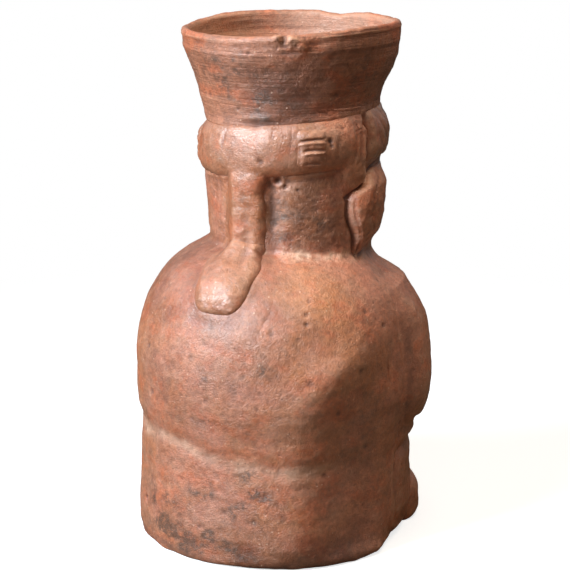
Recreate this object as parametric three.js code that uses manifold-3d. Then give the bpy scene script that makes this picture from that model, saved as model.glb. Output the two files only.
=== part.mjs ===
// A fired-clay jar in the shape of a seated figure: the belly is its body, the head its neck,
// and the flaring rim rises out of the head like a tall hat.
// Millimetres, +Z up. The origin is the middle of the flat base, and the figure faces -Y.
// Azimuths are in degrees round a vertical axis: 0 is the front, 90 the figure's left, 180 its back.

import * as THREE from "three";
import { mergeVertices } from "three/addons/utils/BufferGeometryUtils.js";
import Module from "manifold-3d";

const wasm = await Module();
wasm.setup();

// Driving dimensions of the hollow body
const baseThickness = 7;
const baseEdgeRound = 4;
const wallThickness = 5;
const hipRadius = 68.3;
const hipHeight = 20;
const waistInset = 1.1;
const waistHeight = 48;
const bellyRadius = 70.2;
const bellyHeight = 86;
const domeRise = 64;
const domeFullness = 2.4;
const lapSetBack = 5.5;
const lapFade = 30;

// Driving dimensions of the head and the rim
const neckForward = 10.6;
const neckRadius = 41.2;
const neckRise = 55;
const headWall = 5;
const collarHeight = 45;
const collarFlare = 1.55;
const rimRadius = 51.4;
const lipThickness = 4;
const lipUpright = 9;

// The headband is a roll of clay that lies a little higher on one side
const bandHeight = 25;
const bandBulge = 5;
const bandDrop = 9.5;
const bandTilt = 3.8;
const bandHighSide = 305;

// The two bound clasps on the headband, behind the ears
const claspAzimuth = 229;
const claspWidth = 14.5;
const claspHeight = 20;
const claspProud = 1.7;
const claspRibs = 4;
const claspRibDepth = 0.7;

// Ears, and the tapered locks that hang in front of them
const earAzimuth = 264;
const earWidth = 19;
const earLength = 35;
const earDrop = 16.5;
const earThickness = 4.4;
const earFolds = 3;
const earFoldDepth = 0.8;
const lockAzimuth = 282;
const lockWidth = 31;
const lockLength = 36;
const lockDrop = 46;
const lockThickness = 4.6;

// The cloth tail that hangs from the headband down the back
const tailAzimuth = 184;
const tailSwing = 4;
const tailWidth = 26;
const tailEndWidth = 27;
const tailThickness = 5;
const tailCover = 1.4;
const tailReach = 62;
const tailFillet = 6;
const tailFolds = 3;
const tailFoldDepth = 0.7;

// The face on the front of the neck
const eyeAzimuth = 21;
const eyeWidth = 18;
const eyeHeight = 9;
const eyeDrop = 33;
const noseWidth = 15;
const noseLength = 22;
const noseHeight = 8;
const noseDrop = 38;
const mouthWidth = 26;
const mouthHeight = 8;
const mouthDrop = 56;
const featureHeight = 2.6;

// Arms and hands in low relief
const armAzimuth = 298;
const armWidth = 54;
const elbowWidth = 42;
const armTop = 127;
const armBottom = 55;
const armThickness = 5.2;
const elbowAzimuth = 304;
const elbowHeight = 68;
const fingertipAzimuth = 352;
const fingertipHeight = 92;
const forearmWidth = 20;
const handShare = 0.38;
const handThickness = 4.4;
const fingers = 4;
const fingerDepth = 0.7;

// Legs and feet in low relief
const legAzimuth = 276;
const legEndAzimuth = 338;
const legTop = 50;
const legThickness = 2.6;
const kneeThickness = 6;
const footAzimuth = 302;
const footEndAzimuth = 342;
const footHeight = 25;
const footThickness = 8.2;

// Clearance between two pieces of clay, and the thickness of an applied piece at its edge
const jointGap = 0.3;
const edgeThickness = 0.9;

// Places that follow from the sizes above
const waistRadius = hipRadius - waistInset;
const domeTop = bellyHeight + domeRise;
const neckTop = domeTop + neckRise;
const rimHeight = neckTop + collarHeight;
const bandMiddle = neckTop - bandDrop;
const room = 3 * rimHeight;

// Fineness of the meshes
const bodySteps = 48;
const headSteps = 40;
const hollowSteps = 32;
const bodyRows = 6;

const radians = THREE.MathUtils.degToRad;
const degrees = THREE.MathUtils.radToDeg;
const lerp = THREE.MathUtils.lerp;

function smooth(from, to, value) {
  return THREE.MathUtils.smoothstep(value, from, to);
}

function range(from, to, steps) {
  return Array.from({ length: steps + 1 }, (unused, k) => lerp(from, to, k / steps));
}

// Outer radius of the body at its back: hips, waist and belly run into each other, then a full dome
function bodyRadius(z) {
  if (z > bellyHeight) {
    const share = Math.min((z - bellyHeight) / domeRise, 1);
    return bellyRadius * (1 - share ** domeFullness) ** (1 / domeFullness);
  }
  if (z > waistHeight) {
    return lerp(waistRadius, bellyRadius, smooth(waistHeight, bellyHeight, z));
  }
  if (z > hipHeight) {
    return lerp(hipRadius, waistRadius, smooth(hipHeight, waistHeight, z));
  }
  const drop = THREE.MathUtils.clamp(baseEdgeRound - z, 0, baseEdgeRound);
  return hipRadius - baseEdgeRound + Math.sqrt(baseEdgeRound ** 2 - drop ** 2);
}

// Height at which the dome has come in to a given radius
function domeHeight(radius) {
  return bellyHeight + domeRise * (1 - (radius / bellyRadius) ** domeFullness) ** (1 / domeFullness);
}

// The lap is set back a little under the arms, from one hip round the front to the other
function lapDepth(azimuth, z) {
  const fromFront = Math.abs(THREE.MathUtils.euclideanModulo(azimuth + 180, 360) - 180);
  return lapSetBack * (1 - smooth(74, 96, fromFront)) * (1 - smooth(waistHeight, waistHeight + lapFade, z));
}

// Outer radius of the head: a straight neck, then a collar that flares to an upright lip
function headRadius(z) {
  const flareTop = rimHeight - lipUpright;
  const share = THREE.MathUtils.clamp((z - neckTop) / (flareTop - neckTop), 0, 1);
  return neckRadius + (rimRadius - neckRadius) * share ** collarFlare;
}

// How far the body's outer face lies from the axis of the neck
function shoulderReach(azimuth, z) {
  const side = neckForward * Math.sin(radians(azimuth));
  const radius = bodyRadius(z);
  return Math.sqrt(Math.max(radius ** 2 - side ** 2, 0)) - neckForward * Math.cos(radians(azimuth));
}

// Two radii joined by a round fillet where they are nearly alike
function filleted(a, b, fillet) {
  const near = Math.max(fillet - Math.abs(a - b), 0) / fillet;
  return Math.max(a, b) + (fillet * near ** 2) / 4;
}

// A carrier is a wall that applied clay lies on, given by its axis and its radius
const body = {
  axisY: 0,
  radius: (azimuth, z) => bodyRadius(z) - lapDepth(azimuth, z),
};
const foot = {
  axisY: 0,
  radius: (azimuth, z) => body.radius(azimuth, Math.max(z, baseEdgeRound)),
};
const head = {
  axisY: -neckForward,
  radius: (azimuth, z) => headRadius(z),
};
const backOfFigure = {
  axisY: -neckForward,
  radius: (azimuth, z) => filleted(headRadius(z), shoulderReach(azimuth, z), tailFillet),
};

// Point on a carrier's outer face, moved out along the normal of that face
function surfacePoint(carrier, azimuth, z, offset) {
  const onFace = (angle, height) => {
    const radius = carrier.radius(angle, height);
    const x = radius * Math.sin(radians(angle));
    return new THREE.Vector3(x, carrier.axisY - radius * Math.cos(radians(angle)), height);
  };
  const step = 0.05;
  const around = onFace(azimuth + step, z).sub(onFace(azimuth - step, z));
  const upward = onFace(azimuth, z + step).sub(onFace(azimuth, z - step));
  return onFace(azimuth, z).addScaledVector(around.cross(upward).normalize(), offset);
}

function indexedGeometry(points, faces) {
  const geometry = new THREE.BufferGeometry();
  geometry.setAttribute("position", new THREE.Float32BufferAttribute(points.flatMap((p) => p.toArray()), 3));
  geometry.setIndex(faces);
  return geometry;
}

// The solid of a closed geometry
function solidOf(geometry) {
  geometry.deleteAttribute("normal");
  geometry.deleteAttribute("uv");
  const merged = mergeVertices(geometry, 1e-4);
  const vertProperties = new Float32Array(merged.attributes.position.array);
  const triVerts = new Uint32Array(merged.index.array);
  return new wasm.Manifold(new wasm.Mesh({ numProp: 3, vertProperties, triVerts }));
}

function geometryOf(solid) {
  const mesh = solid.getMesh();
  const geometry = new THREE.BufferGeometry();
  geometry.setAttribute("position", new THREE.Float32BufferAttribute(mesh.vertProperties, 3));
  geometry.setIndex(new THREE.Uint32BufferAttribute(mesh.triVerts, 1));
  return geometry;
}

// Solid turned about a vertical axis, from points of radius and height
function turned(points, axisY, steps) {
  const geometry = new THREE.LatheGeometry(points.map(([r, z]) => new THREE.Vector2(r, z)), steps);
  geometry.rotateX(Math.PI / 2);
  geometry.translate(0, axisY, 0);
  return solidOf(geometry);
}

function box(size, centre) {
  const geometry = new THREE.BoxGeometry(...size);
  geometry.translate(...centre);
  return solidOf(geometry);
}

function behind(planeY) {
  return box([room, room, room], [0, planeY + room / 2, 0]);
}

function inFront(planeY) {
  return box([room, room, room], [0, planeY - room / 2, 0]);
}

function below(z) {
  return box([room, room, room], [0, 0, z - room / 2]);
}

// Everything inside the body's outer face, moved out by an offset, from a lowest height up
function bodyFill(offset, lowest, steps, rows) {
  const upright = range(lowest, bellyHeight, rows);
  const onDome = range(0, Math.PI / 2, rows + 2).slice(1, -1);
  const domeRows = onDome.map((angle) => bellyHeight + domeRise * Math.sin(angle) ** (2 / domeFullness));
  const heights = lowest < baseEdgeRound ? [lowest, baseEdgeRound / 4, baseEdgeRound] : [];
  heights.push(...upright.slice(heights.length ? 1 : 0), ...domeRows);
  const points = [];
  const faces = [];
  for (const z of heights) {
    for (let k = 0; k < steps; k += 1) {
      points.push(surfacePoint(body, (360 * k) / steps, z, offset));
    }
  }
  for (let k = 0; k < steps; k += 1) {
    points[k].z = Math.min(lowest, lowest - offset);
  }
  const foot = points.push(new THREE.Vector3(0, 0, points[0].z)) - 1;
  const top = points.push(new THREE.Vector3(0, 0, domeTop + offset)) - 1;
  const lastRow = (heights.length - 1) * steps;
  for (let k = 0; k < steps; k += 1) {
    const next = (k + 1) % steps;
    for (let row = 0; row < lastRow; row += steps) {
      faces.push(row + k, row + next, row + steps + next);
      faces.push(row + k, row + steps + next, row + steps + k);
    }
    faces.push(foot, next, k);
    faces.push(top, lastRow + k, lastRow + next);
  }
  return solidOf(indexedGeometry(points, faces));
}

// A strip of clay on a carrier. Its spine runs over the carrier as azimuth and height, s from 0 to 1,
// and u goes from -1 to 1 across it. It lies at seat and is rise thick, both out along the normal.
// Its rows are evenly spread, or lie closer towards round ends.
function strip({ carrier, spine, halfWidth, rise, seat = jointGap, along = 10, across = 4, even = true }) {
  const top = [];
  const bottom = [];
  const rows = even ? range(0, 1, along) : range(0, Math.PI, along).map((turn) => (1 - Math.cos(turn)) / 2);
  for (const s of rows) {
    const here = spine(s);
    const [before, after] = [spine(s - 0.01), spine(s + 0.01)];
    const radius = carrier.radius(here.azimuth, here.z);
    const heading = new THREE.Vector2(
      radians(after.azimuth - before.azimuth) * radius,
      after.z - before.z
    ).normalize();
    for (const turn of range(-Math.PI / 2, Math.PI / 2, across)) {
      const u = Math.sin(turn);
      const side = u * halfWidth(s);
      const azimuth = here.azimuth - degrees((heading.y * side) / radius);
      const z = here.z + heading.x * side;
      bottom.push(surfacePoint(carrier, azimuth, z, seat));
      top.push(surfacePoint(carrier, azimuth, z, seat + rise(s, u, azimuth, z)));
    }
  }
  const row = across + 1;
  const count = top.length;
  const faces = [];
  const quad = (a, b, c, d) => faces.push(a, b, c, a, c, d);
  for (let i = 0; i < along; i += 1) {
    const start = i * row;
    for (let j = start; j < start + across; j += 1) {
      quad(j, j + row, j + row + 1, j + 1);
      quad(count + j, count + j + 1, count + j + row + 1, count + j + row);
    }
    quad(start, count + start, count + start + row, start + row);
    quad(start + across + row, count + start + across + row, count + start + across, start + across);
  }
  for (let j = 0; j < across; j += 1) {
    const end = along * row + j;
    quad(j + 1, count + j + 1, count + j, j);
    quad(end, count + end, count + end + 1, end + 1);
  }
  return solidOf(indexedGeometry([...top, ...bottom], faces));
}

// A strip as a cutter: the same strip grown by the joint gap on every side
function grown(options) {
  const seat = options.seat ?? jointGap;
  return strip({
    ...options,
    halfWidth: (s) => options.halfWidth(s) + jointGap,
    spine: (s) => options.spine(s + ((s - 0.5) * 2 * jointGap) / options.length),
    seat: seat - wallThickness,
    rise: (...place) => options.rise(...place) + wallThickness + jointGap,
  });
}

function pillow(full, u) {
  return edgeThickness + (full - edgeThickness) * Math.sqrt(Math.max(1 - u * u, 0));
}

function flatTopped(full, u) {
  return edgeThickness + (full - edgeThickness) * Math.sqrt(Math.max(1 - u ** 4, 0));
}

// Half width of a strip that keeps its width but has round ends
function roundEnds(half, s) {
  return Math.max(half * Math.sqrt(1 - Math.abs(2 * s - 1) ** 5), edgeThickness);
}

// The wall pieces: floor slab, hips and belly in two halves each, two halves of the head, and the collar
const bodySolid = bodyFill(0, 0, bodySteps, bodyRows);
const bodyHollow = bodyFill(-wallThickness, baseThickness, hollowSteps, bodyRows - 1);
const bodyCutter = bodyFill(jointGap, 0, bodySteps, bodyRows);
const neckInside = neckRadius - headWall;

function baseSlab() {
  return bodySolid.intersect(below(baseThickness));
}

function bodyShell() {
  const bore = turned(
    [[0, bellyHeight], [neckInside, bellyHeight], [neckInside, neckTop], [0, neckTop]],
    -neckForward,
    headSteps
  );
  return bodySolid.subtract(bodyHollow).subtract(below(baseThickness)).subtract(bore);
}

function neckTube() {
  const profile = [
    [neckInside, bellyHeight],
    [neckRadius, bellyHeight],
    [neckRadius, neckTop],
    [neckInside, neckTop],
    [neckInside, bellyHeight],
  ];
  return turned(profile, -neckForward, headSteps).subtract(bodyCutter);
}

function rimCollar() {
  const flareTop = rimHeight - lipUpright;
  const lipRadius = lipThickness / 2;
  const outside = range(neckTop, flareTop, 5).map((z) => [headRadius(z), z]);
  const lip = range(0, Math.PI, 4).map((angle) => [
    rimRadius - lipRadius + lipRadius * Math.cos(angle),
    rimHeight - lipRadius + lipRadius * Math.sin(angle),
  ]);
  const inside = range(flareTop, neckTop, 4).map((z) => [
    headRadius(z) - lerp(headWall, lipThickness, (z - neckTop) / (flareTop - neckTop)),
    z,
  ]);
  return turned([...outside, ...lip, ...inside, outside[0]], -neckForward, headSteps);
}

// Headband, in a back and a front length that end beside the ears
function bandCentre(azimuth) {
  return bandMiddle + bandTilt * Math.cos(radians(azimuth - bandHighSide));
}

function bandRise(azimuth, z) {
  const u = THREE.MathUtils.clamp((z - bandCentre(azimuth)) / (bandHeight / 2), -1, 1);
  return pillow(bandBulge, u);
}

const besideEar = degrees((earWidth / 2 + jointGap) / neckRadius);

function bandStrip(from, to) {
  return {
    carrier: head,
    length: radians(to - from) * neckRadius,
    along: 20,
    across: 6,
    spine: (s) => ({ azimuth: lerp(from, to, s), z: bandCentre(lerp(from, to, s)) }),
    halfWidth: () => bandHeight / 2,
    rise: (s, u) => pillow(bandBulge, u),
  };
}

const backBand = bandStrip(360 - earAzimuth + besideEar, earAzimuth - besideEar);
const frontBand = bandStrip(earAzimuth + besideEar - 360, 360 - earAzimuth - besideEar);

// Cloth tail: over the back of the band, down the neck and out onto the shoulder
function tailStrip() {
  const start = bandCentre(tailAzimuth) + bandHeight / 2 - bandBulge;
  const shoulder = domeHeight(neckRadius - neckForward) + tailFillet / 2;
  const neckShare = 0.6;
  const heightAt = (s) => {
    if (s < neckShare) {
      return lerp(start, shoulder, s / neckShare);
    }
    return domeHeight(lerp(neckRadius - neckForward, tailReach, (s - neckShare) / (1 - neckShare)));
  };
  return {
    carrier: backOfFigure,
    along: 18,
    across: 6,
    spine: (s) => ({ azimuth: tailAzimuth + tailSwing * smooth(neckShare, 1, s), z: heightAt(s) }),
    halfWidth: (s) => (lerp(tailWidth, tailEndWidth, smooth(0.4, 0.8, s)) / 2) * Math.sqrt(1 - 0.8 * s ** 16),
    rise: (s, u, azimuth, z) => {
      const fold = tailFoldDepth * (Math.cos(tailFolds * Math.PI * u) - 1) * (1 - u * u);
      const offBand = Math.min(Math.abs(z - bandCentre(azimuth)) / (bandHeight / 2 + bandBulge), 1);
      const overBand = tailCover + bandBulge * Math.sqrt(1 - offBand ** 2);
      return Math.max(flatTopped(tailThickness, u) + fold, overBand);
    },
  };
}

// One bound clasp: a plate over the roll of the band, with ribs across it
function claspStrip(side) {
  return {
    carrier: head,
    along: 16,
    spine: (s) => {
      const azimuth = side * claspAzimuth;
      return { azimuth, z: bandCentre(azimuth) + claspHeight * (0.5 - s) };
    },
    halfWidth: () => claspWidth / 2,
    rise: (s, u, azimuth, z) => {
      const rib = claspRibDepth * Math.abs(Math.sin(claspRibs * Math.PI * s));
      return bandRise(azimuth, z) + claspProud - claspRibDepth + rib;
    },
  };
}

function earStrip(side) {
  const top = neckTop + earLength / 2 - earDrop;
  return {
    carrier: head,
    length: earLength,
    along: 10,
    across: 10,
    spine: (s) => ({ azimuth: side * earAzimuth, z: top - earLength * s }),
    halfWidth: (s) => Math.max((earWidth / 2) * (1 - s ** 5) ** 0.5, edgeThickness),
    rise: (s, u) => {
      const fold = earFoldDepth * (Math.cos(earFolds * 2 * Math.PI * u) - 1) * (1 - u * u);
      return Math.max(flatTopped(earThickness, u) * (1 - 0.4 * s) + fold * (1 - s), edgeThickness);
    },
  };
}

function sideLock(side) {
  const top = neckTop + lockLength / 2 - lockDrop;
  return strip({
    carrier: head,
    across: 6,
    even: false,
    spine: (s) => ({ azimuth: side * lockAzimuth, z: top - lockLength * s }),
    halfWidth: (s) => Math.max((lockWidth / 2) * Math.sin(Math.PI * s ** 0.75) ** 0.8, 2 * edgeThickness),
    rise: (s, u) => pillow(lockThickness, u),
  }).subtract(bodyCutter);
}

// Almond eye, wedge nose and closed lips
function eye(side) {
  const half = degrees(eyeWidth / 2 / neckRadius);
  return strip({
    carrier: head,
    along: 10,
    spine: (s) => ({ azimuth: side * eyeAzimuth + half * (2 * s - 1), z: neckTop - eyeDrop }),
    halfWidth: (s) => Math.max((eyeHeight / 2) * Math.sin(Math.PI * s), edgeThickness / 2),
    rise: (s, u) => pillow(edgeThickness + (featureHeight - edgeThickness) * Math.sin(Math.PI * s), u),
  });
}

function nose() {
  const top = neckTop + noseLength / 2 - noseDrop;
  return strip({
    carrier: head,
    spine: (s) => ({ azimuth: 0, z: top - noseLength * s }),
    halfWidth: (s) => (noseWidth / 2) * lerp(0.35, 1, s),
    rise: (s, u) => pillow(edgeThickness + (noseHeight - edgeThickness) * Math.sin((Math.PI / 1.7) * s ** 0.8), u),
  });
}

function mouth() {
  const half = degrees(mouthWidth / 2 / neckRadius);
  return strip({
    carrier: head,
    across: 8,
    spine: (s) => ({ azimuth: half * (2 * s - 1), z: neckTop - mouthDrop }),
    halfWidth: (s) => Math.max((mouthHeight / 2) * Math.sin(Math.PI * s), edgeThickness / 2),
    rise: (s, u) => {
      const lips = pillow(featureHeight, Math.abs(2 * Math.abs(u) - 1));
      return lerp(edgeThickness, lips, Math.sin(Math.PI * s) ** 0.5);
    },
  });
}

// Arm: a broad upper arm down the side of the body, and a forearm across the belly
function lowerArm(side, s) {
  return {
    azimuth: side * lerp(elbowAzimuth, fingertipAzimuth, s),
    z: lerp(elbowHeight, fingertipHeight, s),
  };
}

function arm(side) {
  const upper = strip({
    carrier: body,
    seat: 0,
    even: false,
    spine: (s) => ({ azimuth: side * armAzimuth, z: lerp(armTop, armBottom, s) }),
    halfWidth: (s) => roundEnds(lerp(armWidth, elbowWidth, s) / 2, s),
    rise: (s, u) => flatTopped(armThickness, u) + jointGap,
    across: 6,
  });
  const fore = strip({
    carrier: body,
    seat: 0,
    spine: (s) => lowerArm(side, s * (1 - handShare)),
    halfWidth: () => forearmWidth / 2,
    rise: (s, u) => pillow(armThickness, u) + jointGap,
  });
  return upper.add(fore).subtract(bodyCutter);
}

function hand(side) {
  const length = radians(fingertipAzimuth - elbowAzimuth) * bellyRadius;
  const wrist = 1 - handShare + (2 * jointGap) / length;
  return strip({
    carrier: body,
    along: 6,
    across: 12,
    spine: (s) => lowerArm(side, lerp(wrist, 1, s)),
    halfWidth: (s) => (forearmWidth / 2) * Math.sqrt(1 - 0.7 * s ** 8),
    rise: (s, u) => {
      const finger = fingerDepth * (Math.cos(fingers * Math.PI * (u + 1)) - 1);
      return Math.max(flatTopped(handThickness, u) + (finger * smooth(0.3, 0.5, s)) / 2, edgeThickness);
    },
  });
}

// Foot: a knob that stands out at the bottom, level with the ground
function footStrip(side) {
  return {
    carrier: foot,
    length: radians(footEndAzimuth - footAzimuth) * hipRadius,
    seat: -baseEdgeRound,
    across: 6,
    even: false,
    spine: (s) => ({ azimuth: side * lerp(footAzimuth, footEndAzimuth, s), z: footHeight / 2 }),
    halfWidth: () => footHeight / 2,
    rise: (s, u) => {
      const along = Math.sqrt(Math.max(1 - (2 * s - 1) ** 4, 0));
      return baseEdgeRound + lerp(edgeThickness, flatTopped(footThickness, u), along);
    },
  };
}

// Leg: a low fold of clay beside the foot, cut out round it
function leg(side) {
  const lowest = baseEdgeRound;
  return strip({
    carrier: body,
    seat: 0,
    even: false,
    spine: (s) => ({ azimuth: side * lerp(legAzimuth, legEndAzimuth, s), z: (legTop + lowest) / 2 }),
    halfWidth: (s) => ((legTop - lowest) / 2) * Math.sqrt(1 - 0.6 * s ** 8),
    rise: (s, u) => flatTopped(lerp(legThickness, kneeThickness, s * s), u) + jointGap,
  })
    .subtract(bodyCutter)
    .subtract(grown(footStrip(side)));
}

const vessel = new THREE.Group();

function place(name, solid, colour) {
  const material = new THREE.MeshStandardMaterial({ color: colour, roughness: 0.62, metalness: 0 });
  const mesh = new THREE.Mesh(geometryOf(solid), material);
  mesh.name = name;
  vessel.add(mesh);
}

const clay = "#c08a68";
const paleClay = "#cf9d84";
const darkClay = "#a06c50";

const shell = bodyShell();
const hips = shell.intersect(below(waistHeight));
const belly = shell.subtract(below(waistHeight));
const neck = neckTube();
const bandCutter = grown(backBand);
const earCutter = grown(earStrip(1)).add(grown(earStrip(-1)));

place("base_slab", baseSlab(), darkClay);
place("hip_back_wall", hips.intersect(behind(0)), clay);
place("hip_front_wall", hips.intersect(inFront(0)), clay);
place("belly_back_wall", belly.intersect(behind(0)), clay);
place("belly_front_wall", belly.intersect(inFront(0)), clay);
place("neck_back_wall", neck.intersect(behind(-neckForward)), clay);
place("neck_front_wall", neck.intersect(inFront(-neckForward)), clay);
place("rim_collar", rimCollar(), darkClay);
place("headband_back", strip(backBand).subtract(earCutter), paleClay);
place("headband_front", strip(frontBand).subtract(earCutter), paleClay);
place("headcloth_tail", strip(tailStrip()).subtract(bandCutter).subtract(bodyCutter), paleClay);
place("nose", nose(), clay);
place("mouth", mouth(), clay);

for (const [name, side] of [["right", 1], ["left", -1]]) {
  place(`${name}_clasp`, strip(claspStrip(side)).subtract(bandCutter), paleClay);
  place(`${name}_ear`, strip(earStrip(side)), clay);
  place(`${name}_side_lock`, sideLock(side).subtract(earCutter), clay);
  place(`${name}_eye`, eye(side), clay);
  place(`${name}_arm`, arm(side), clay);
  place(`${name}_hand`, hand(side), clay);
  place(`${name}_leg`, leg(side), clay);
  place(`${name}_foot`, strip(footStrip(side)).subtract(bodyCutter), clay);
}

export default vessel;
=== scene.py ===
import math

import bpy
import numpy as np
from mathutils import Matrix, Vector


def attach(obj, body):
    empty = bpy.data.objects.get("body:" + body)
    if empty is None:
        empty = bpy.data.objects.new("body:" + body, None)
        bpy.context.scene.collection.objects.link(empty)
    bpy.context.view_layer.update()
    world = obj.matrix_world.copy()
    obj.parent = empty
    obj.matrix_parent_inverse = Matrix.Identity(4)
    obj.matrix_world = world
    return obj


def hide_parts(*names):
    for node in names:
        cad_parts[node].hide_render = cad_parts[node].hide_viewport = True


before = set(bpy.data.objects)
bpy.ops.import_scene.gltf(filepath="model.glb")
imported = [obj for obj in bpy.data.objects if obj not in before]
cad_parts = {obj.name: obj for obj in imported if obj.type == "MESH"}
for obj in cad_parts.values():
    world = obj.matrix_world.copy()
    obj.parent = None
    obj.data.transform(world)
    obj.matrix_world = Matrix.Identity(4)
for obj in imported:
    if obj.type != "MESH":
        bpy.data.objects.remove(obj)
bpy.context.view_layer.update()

# Sizes of the solids and of what lies on them, in millimetres and degrees
WALL = 5.0
BASE_ROUND = 4.0
BASE_THICK = 7.0
HIP_R, HIP_Z = 68.3, 20.0
WAIST_R, WAIST_Z = 67.2, 48.0
BELLY_R, BELLY_Z = 70.2, 86.0
DOME_RISE, DOME_FULL = 64.0, 2.4
LAP_BACK, LAP_FADE = 5.5, 30.0
NECK_FORWARD, NECK_R, HEAD_WALL = 10.6, 41.2, 5.0
NECK_TOP, RIM_Z, RIM_R = 205.0, 250.0, 51.4
LIP, LIP_UPRIGHT, FLARE = 4.0, 9.0, 1.55
BAND_MID, BAND_HALF, BAND_BULGE, BAND_TILT, BAND_HIGH = 195.5, 12.5, 5.0, 3.8, 305.0
TAIL_AZ, TAIL_REACH = 184.0, 62.0
CLASP_AZ, CLASP_HALF, CLASP_HIGH = 229.0, 7.25, 20.0
ELBOW_AZ, ELBOW_Z, FINGER_AZ, FINGER_Z, WRIST = 304, 68, 352, 92, 0.62
ARM_R, ARM_HALF = 68, 10
LEG_AZ, LEG_Z, LEG_R = 307, 27, 66
FOOT_AZ, FOOT_REACH, FOOT_Z = 322, 20, 12.5
EYE_AZ, EYE_Z, EYE_HALF = 21, 172, 9
NOSE_TOP, NOSE_LONG, MOUTH_Z, MOUTH_HALF = 178, 22, 149, 13
NECK_AXIS = [0, -NECK_FORWARD, 0]
HEAD_LOW, BAND_LOW = 146, 184
SINK, THIN = 0.8, 0.6

# Radii that turn an azimuth into a length on the lip, collar, head and body
LIP_SPAN, COLLAR_SPAN, HEAD_SPAN, BODY_SPAN = 50, 46, 41, 68
RAD = math.pi / 180

# A millimetre and the depth of the finest grain, in metres
MM, BUMP_DEPTH = 0.001, 0.0008


def lerp(a, b, t):
    return a + (b - a) * t


def smooth(lo, hi, value):
    t = np.clip((value - lo) / (hi - lo), 0, 1)
    return t * t * (3 - 2 * t)


def turn_from(az, centre):
    return (az - centre + 180) % 360 - 180


def arc(az, centre, radius):
    return turn_from(az, centre) * RAD * radius


def smooth_max(a, b, k):
    h = np.clip(0.5 + 0.5 * (a - b) / k, 0, 1)
    return b + (a - b) * h + k * h * (1 - h)


# 1 in the middle, fading out to both sides
def bell(offset, width):
    return np.exp(-(offset / width) ** 2)


# 1 from low_full to high_full, 0 outside low and high
def between(value, low, low_full, high_full, high):
    return smooth(low, low_full, value) * (1 - smooth(high_full, high, value))


# A round mound between -1 and 1, fuller with a higher power
def bulge(across, power):
    return np.sqrt(np.clip(1 - np.abs(across) ** power, 0, 1))


# Value noise on a seeded lattice, so that every run gives the same clay
def noise(p, size, seed):
    q = p / np.asarray(size, float)
    low = np.floor(q).astype(np.int64)
    f = q - low
    f = f * f * f * (f * (f * 6 - 15) + 10)
    total = 0
    for corner in np.ndindex(2, 2, 2):
        x, y, z = (low[..., k] + corner[k] for k in range(3))
        h = x * 374761393 + y * 668265263 + z * 2147483629 + seed * 974634777
        h = ((h ^ (h >> 13)) & 0xFFFFFFFF) * 1274126177 & 0xFFFFFFFF
        wx, wy, wz = (f[..., k] if corner[k] else 1 - f[..., k] for k in range(3))
        total += wx * wy * wz * (((h ^ (h >> 16)) & 0xFFFFFF) / 8388607.5 - 1)
    return total


# Noise in several layers, each with its depth, size and seed
def layered(p, *layers):
    return sum(depth * noise(p, size, seed) for depth, size, seed in layers)


# Outer faces of the solids
def body_radius(z):
    share = np.clip((z - BELLY_Z) / DOME_RISE, 0, 0.99999)
    dome = BELLY_R * (1 - share ** DOME_FULL) ** (1 / DOME_FULL)
    upper = lerp(WAIST_R, BELLY_R, smooth(WAIST_Z, BELLY_Z, z))
    lower = lerp(HIP_R, WAIST_R, smooth(HIP_Z, WAIST_Z, z))
    drop = np.clip(BASE_ROUND - z, 0, BASE_ROUND)
    lower -= BASE_ROUND - np.sqrt(BASE_ROUND ** 2 - drop ** 2)
    return np.where(z > BELLY_Z, dome, np.where(z > WAIST_Z, upper, lower))


def dome_height(radius):
    return BELLY_Z + DOME_RISE * (1 - (radius / BELLY_R) ** DOME_FULL) ** (1 / DOME_FULL)


def head_radius(z):
    share = np.clip((z - NECK_TOP) / (RIM_Z - LIP_UPRIGHT - NECK_TOP), 0, 1)
    return NECK_R + (RIM_R - NECK_R) * share ** FLARE


def shoulder_reach(az, z):
    side = NECK_FORWARD * np.sin(az * RAD)
    return np.sqrt(np.maximum(body_radius(z) ** 2 - side ** 2, 0)) - NECK_FORWARD * np.cos(az * RAD)


def filleted(fillet):
    def radius(az, z):
        a, b = head_radius(z), shoulder_reach(az, z)
        return np.maximum(a, b) + np.maximum(fillet - np.abs(a - b), 0) ** 2 / fillet / 4

    return radius


# The lap in front is flattened up to the waist
def body_face(az, z):
    front = 1 - smooth(74, 96, np.abs(turn_from(az, 0)))
    return body_radius(z) - LAP_BACK * front * (1 - smooth(WAIST_Z, WAIST_Z + LAP_FADE, z))


# Each face with the place of its axis on y: body, foot of the body, head, back of the neck, headband and joint
BODY = (0.0, body_face)
FOOT = (0.0, lambda az, z: body_face(az, np.maximum(z, BASE_ROUND)))
HEAD = (-NECK_FORWARD, lambda az, z: head_radius(z))
BACK = (-NECK_FORWARD, filleted(16.0))
ROLL = (-NECK_FORWARD, lambda az, z: head_radius(z) + 5.4)
JOINT = (-NECK_FORWARD, filleted(5.0))


def polar(radius, az, z, middle=0.0):
    x, y = radius * np.sin(az * RAD), middle - radius * np.cos(az * RAD)
    return np.stack(np.broadcast_arrays(x, y, z), -1)


def on_face(carrier, az, z):
    return polar(carrier[1](az, z), az, z, carrier[0])


def normal_at(carrier, az, z):
    around = on_face(carrier, az + 0.05, z) - on_face(carrier, az - 0.05, z)
    upward = on_face(carrier, az, z + 0.05) - on_face(carrier, az, z - 0.05)
    out = np.cross(around, upward)
    return out / np.linalg.norm(out, axis=-1, keepdims=True)


def face_and_normal(carrier, az, z):
    return on_face(carrier, az, z), normal_at(carrier, az, z)


def body_turn(p, forward=0.0):
    return np.degrees(np.arctan2(p[..., 0], -(p[..., 1] + forward))) % 360


def neck_turn(p):
    return body_turn(p, NECK_FORWARD)


def neck_reach(p):
    return np.hypot(p[..., 0], p[..., 1] + NECK_FORWARD)


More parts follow.
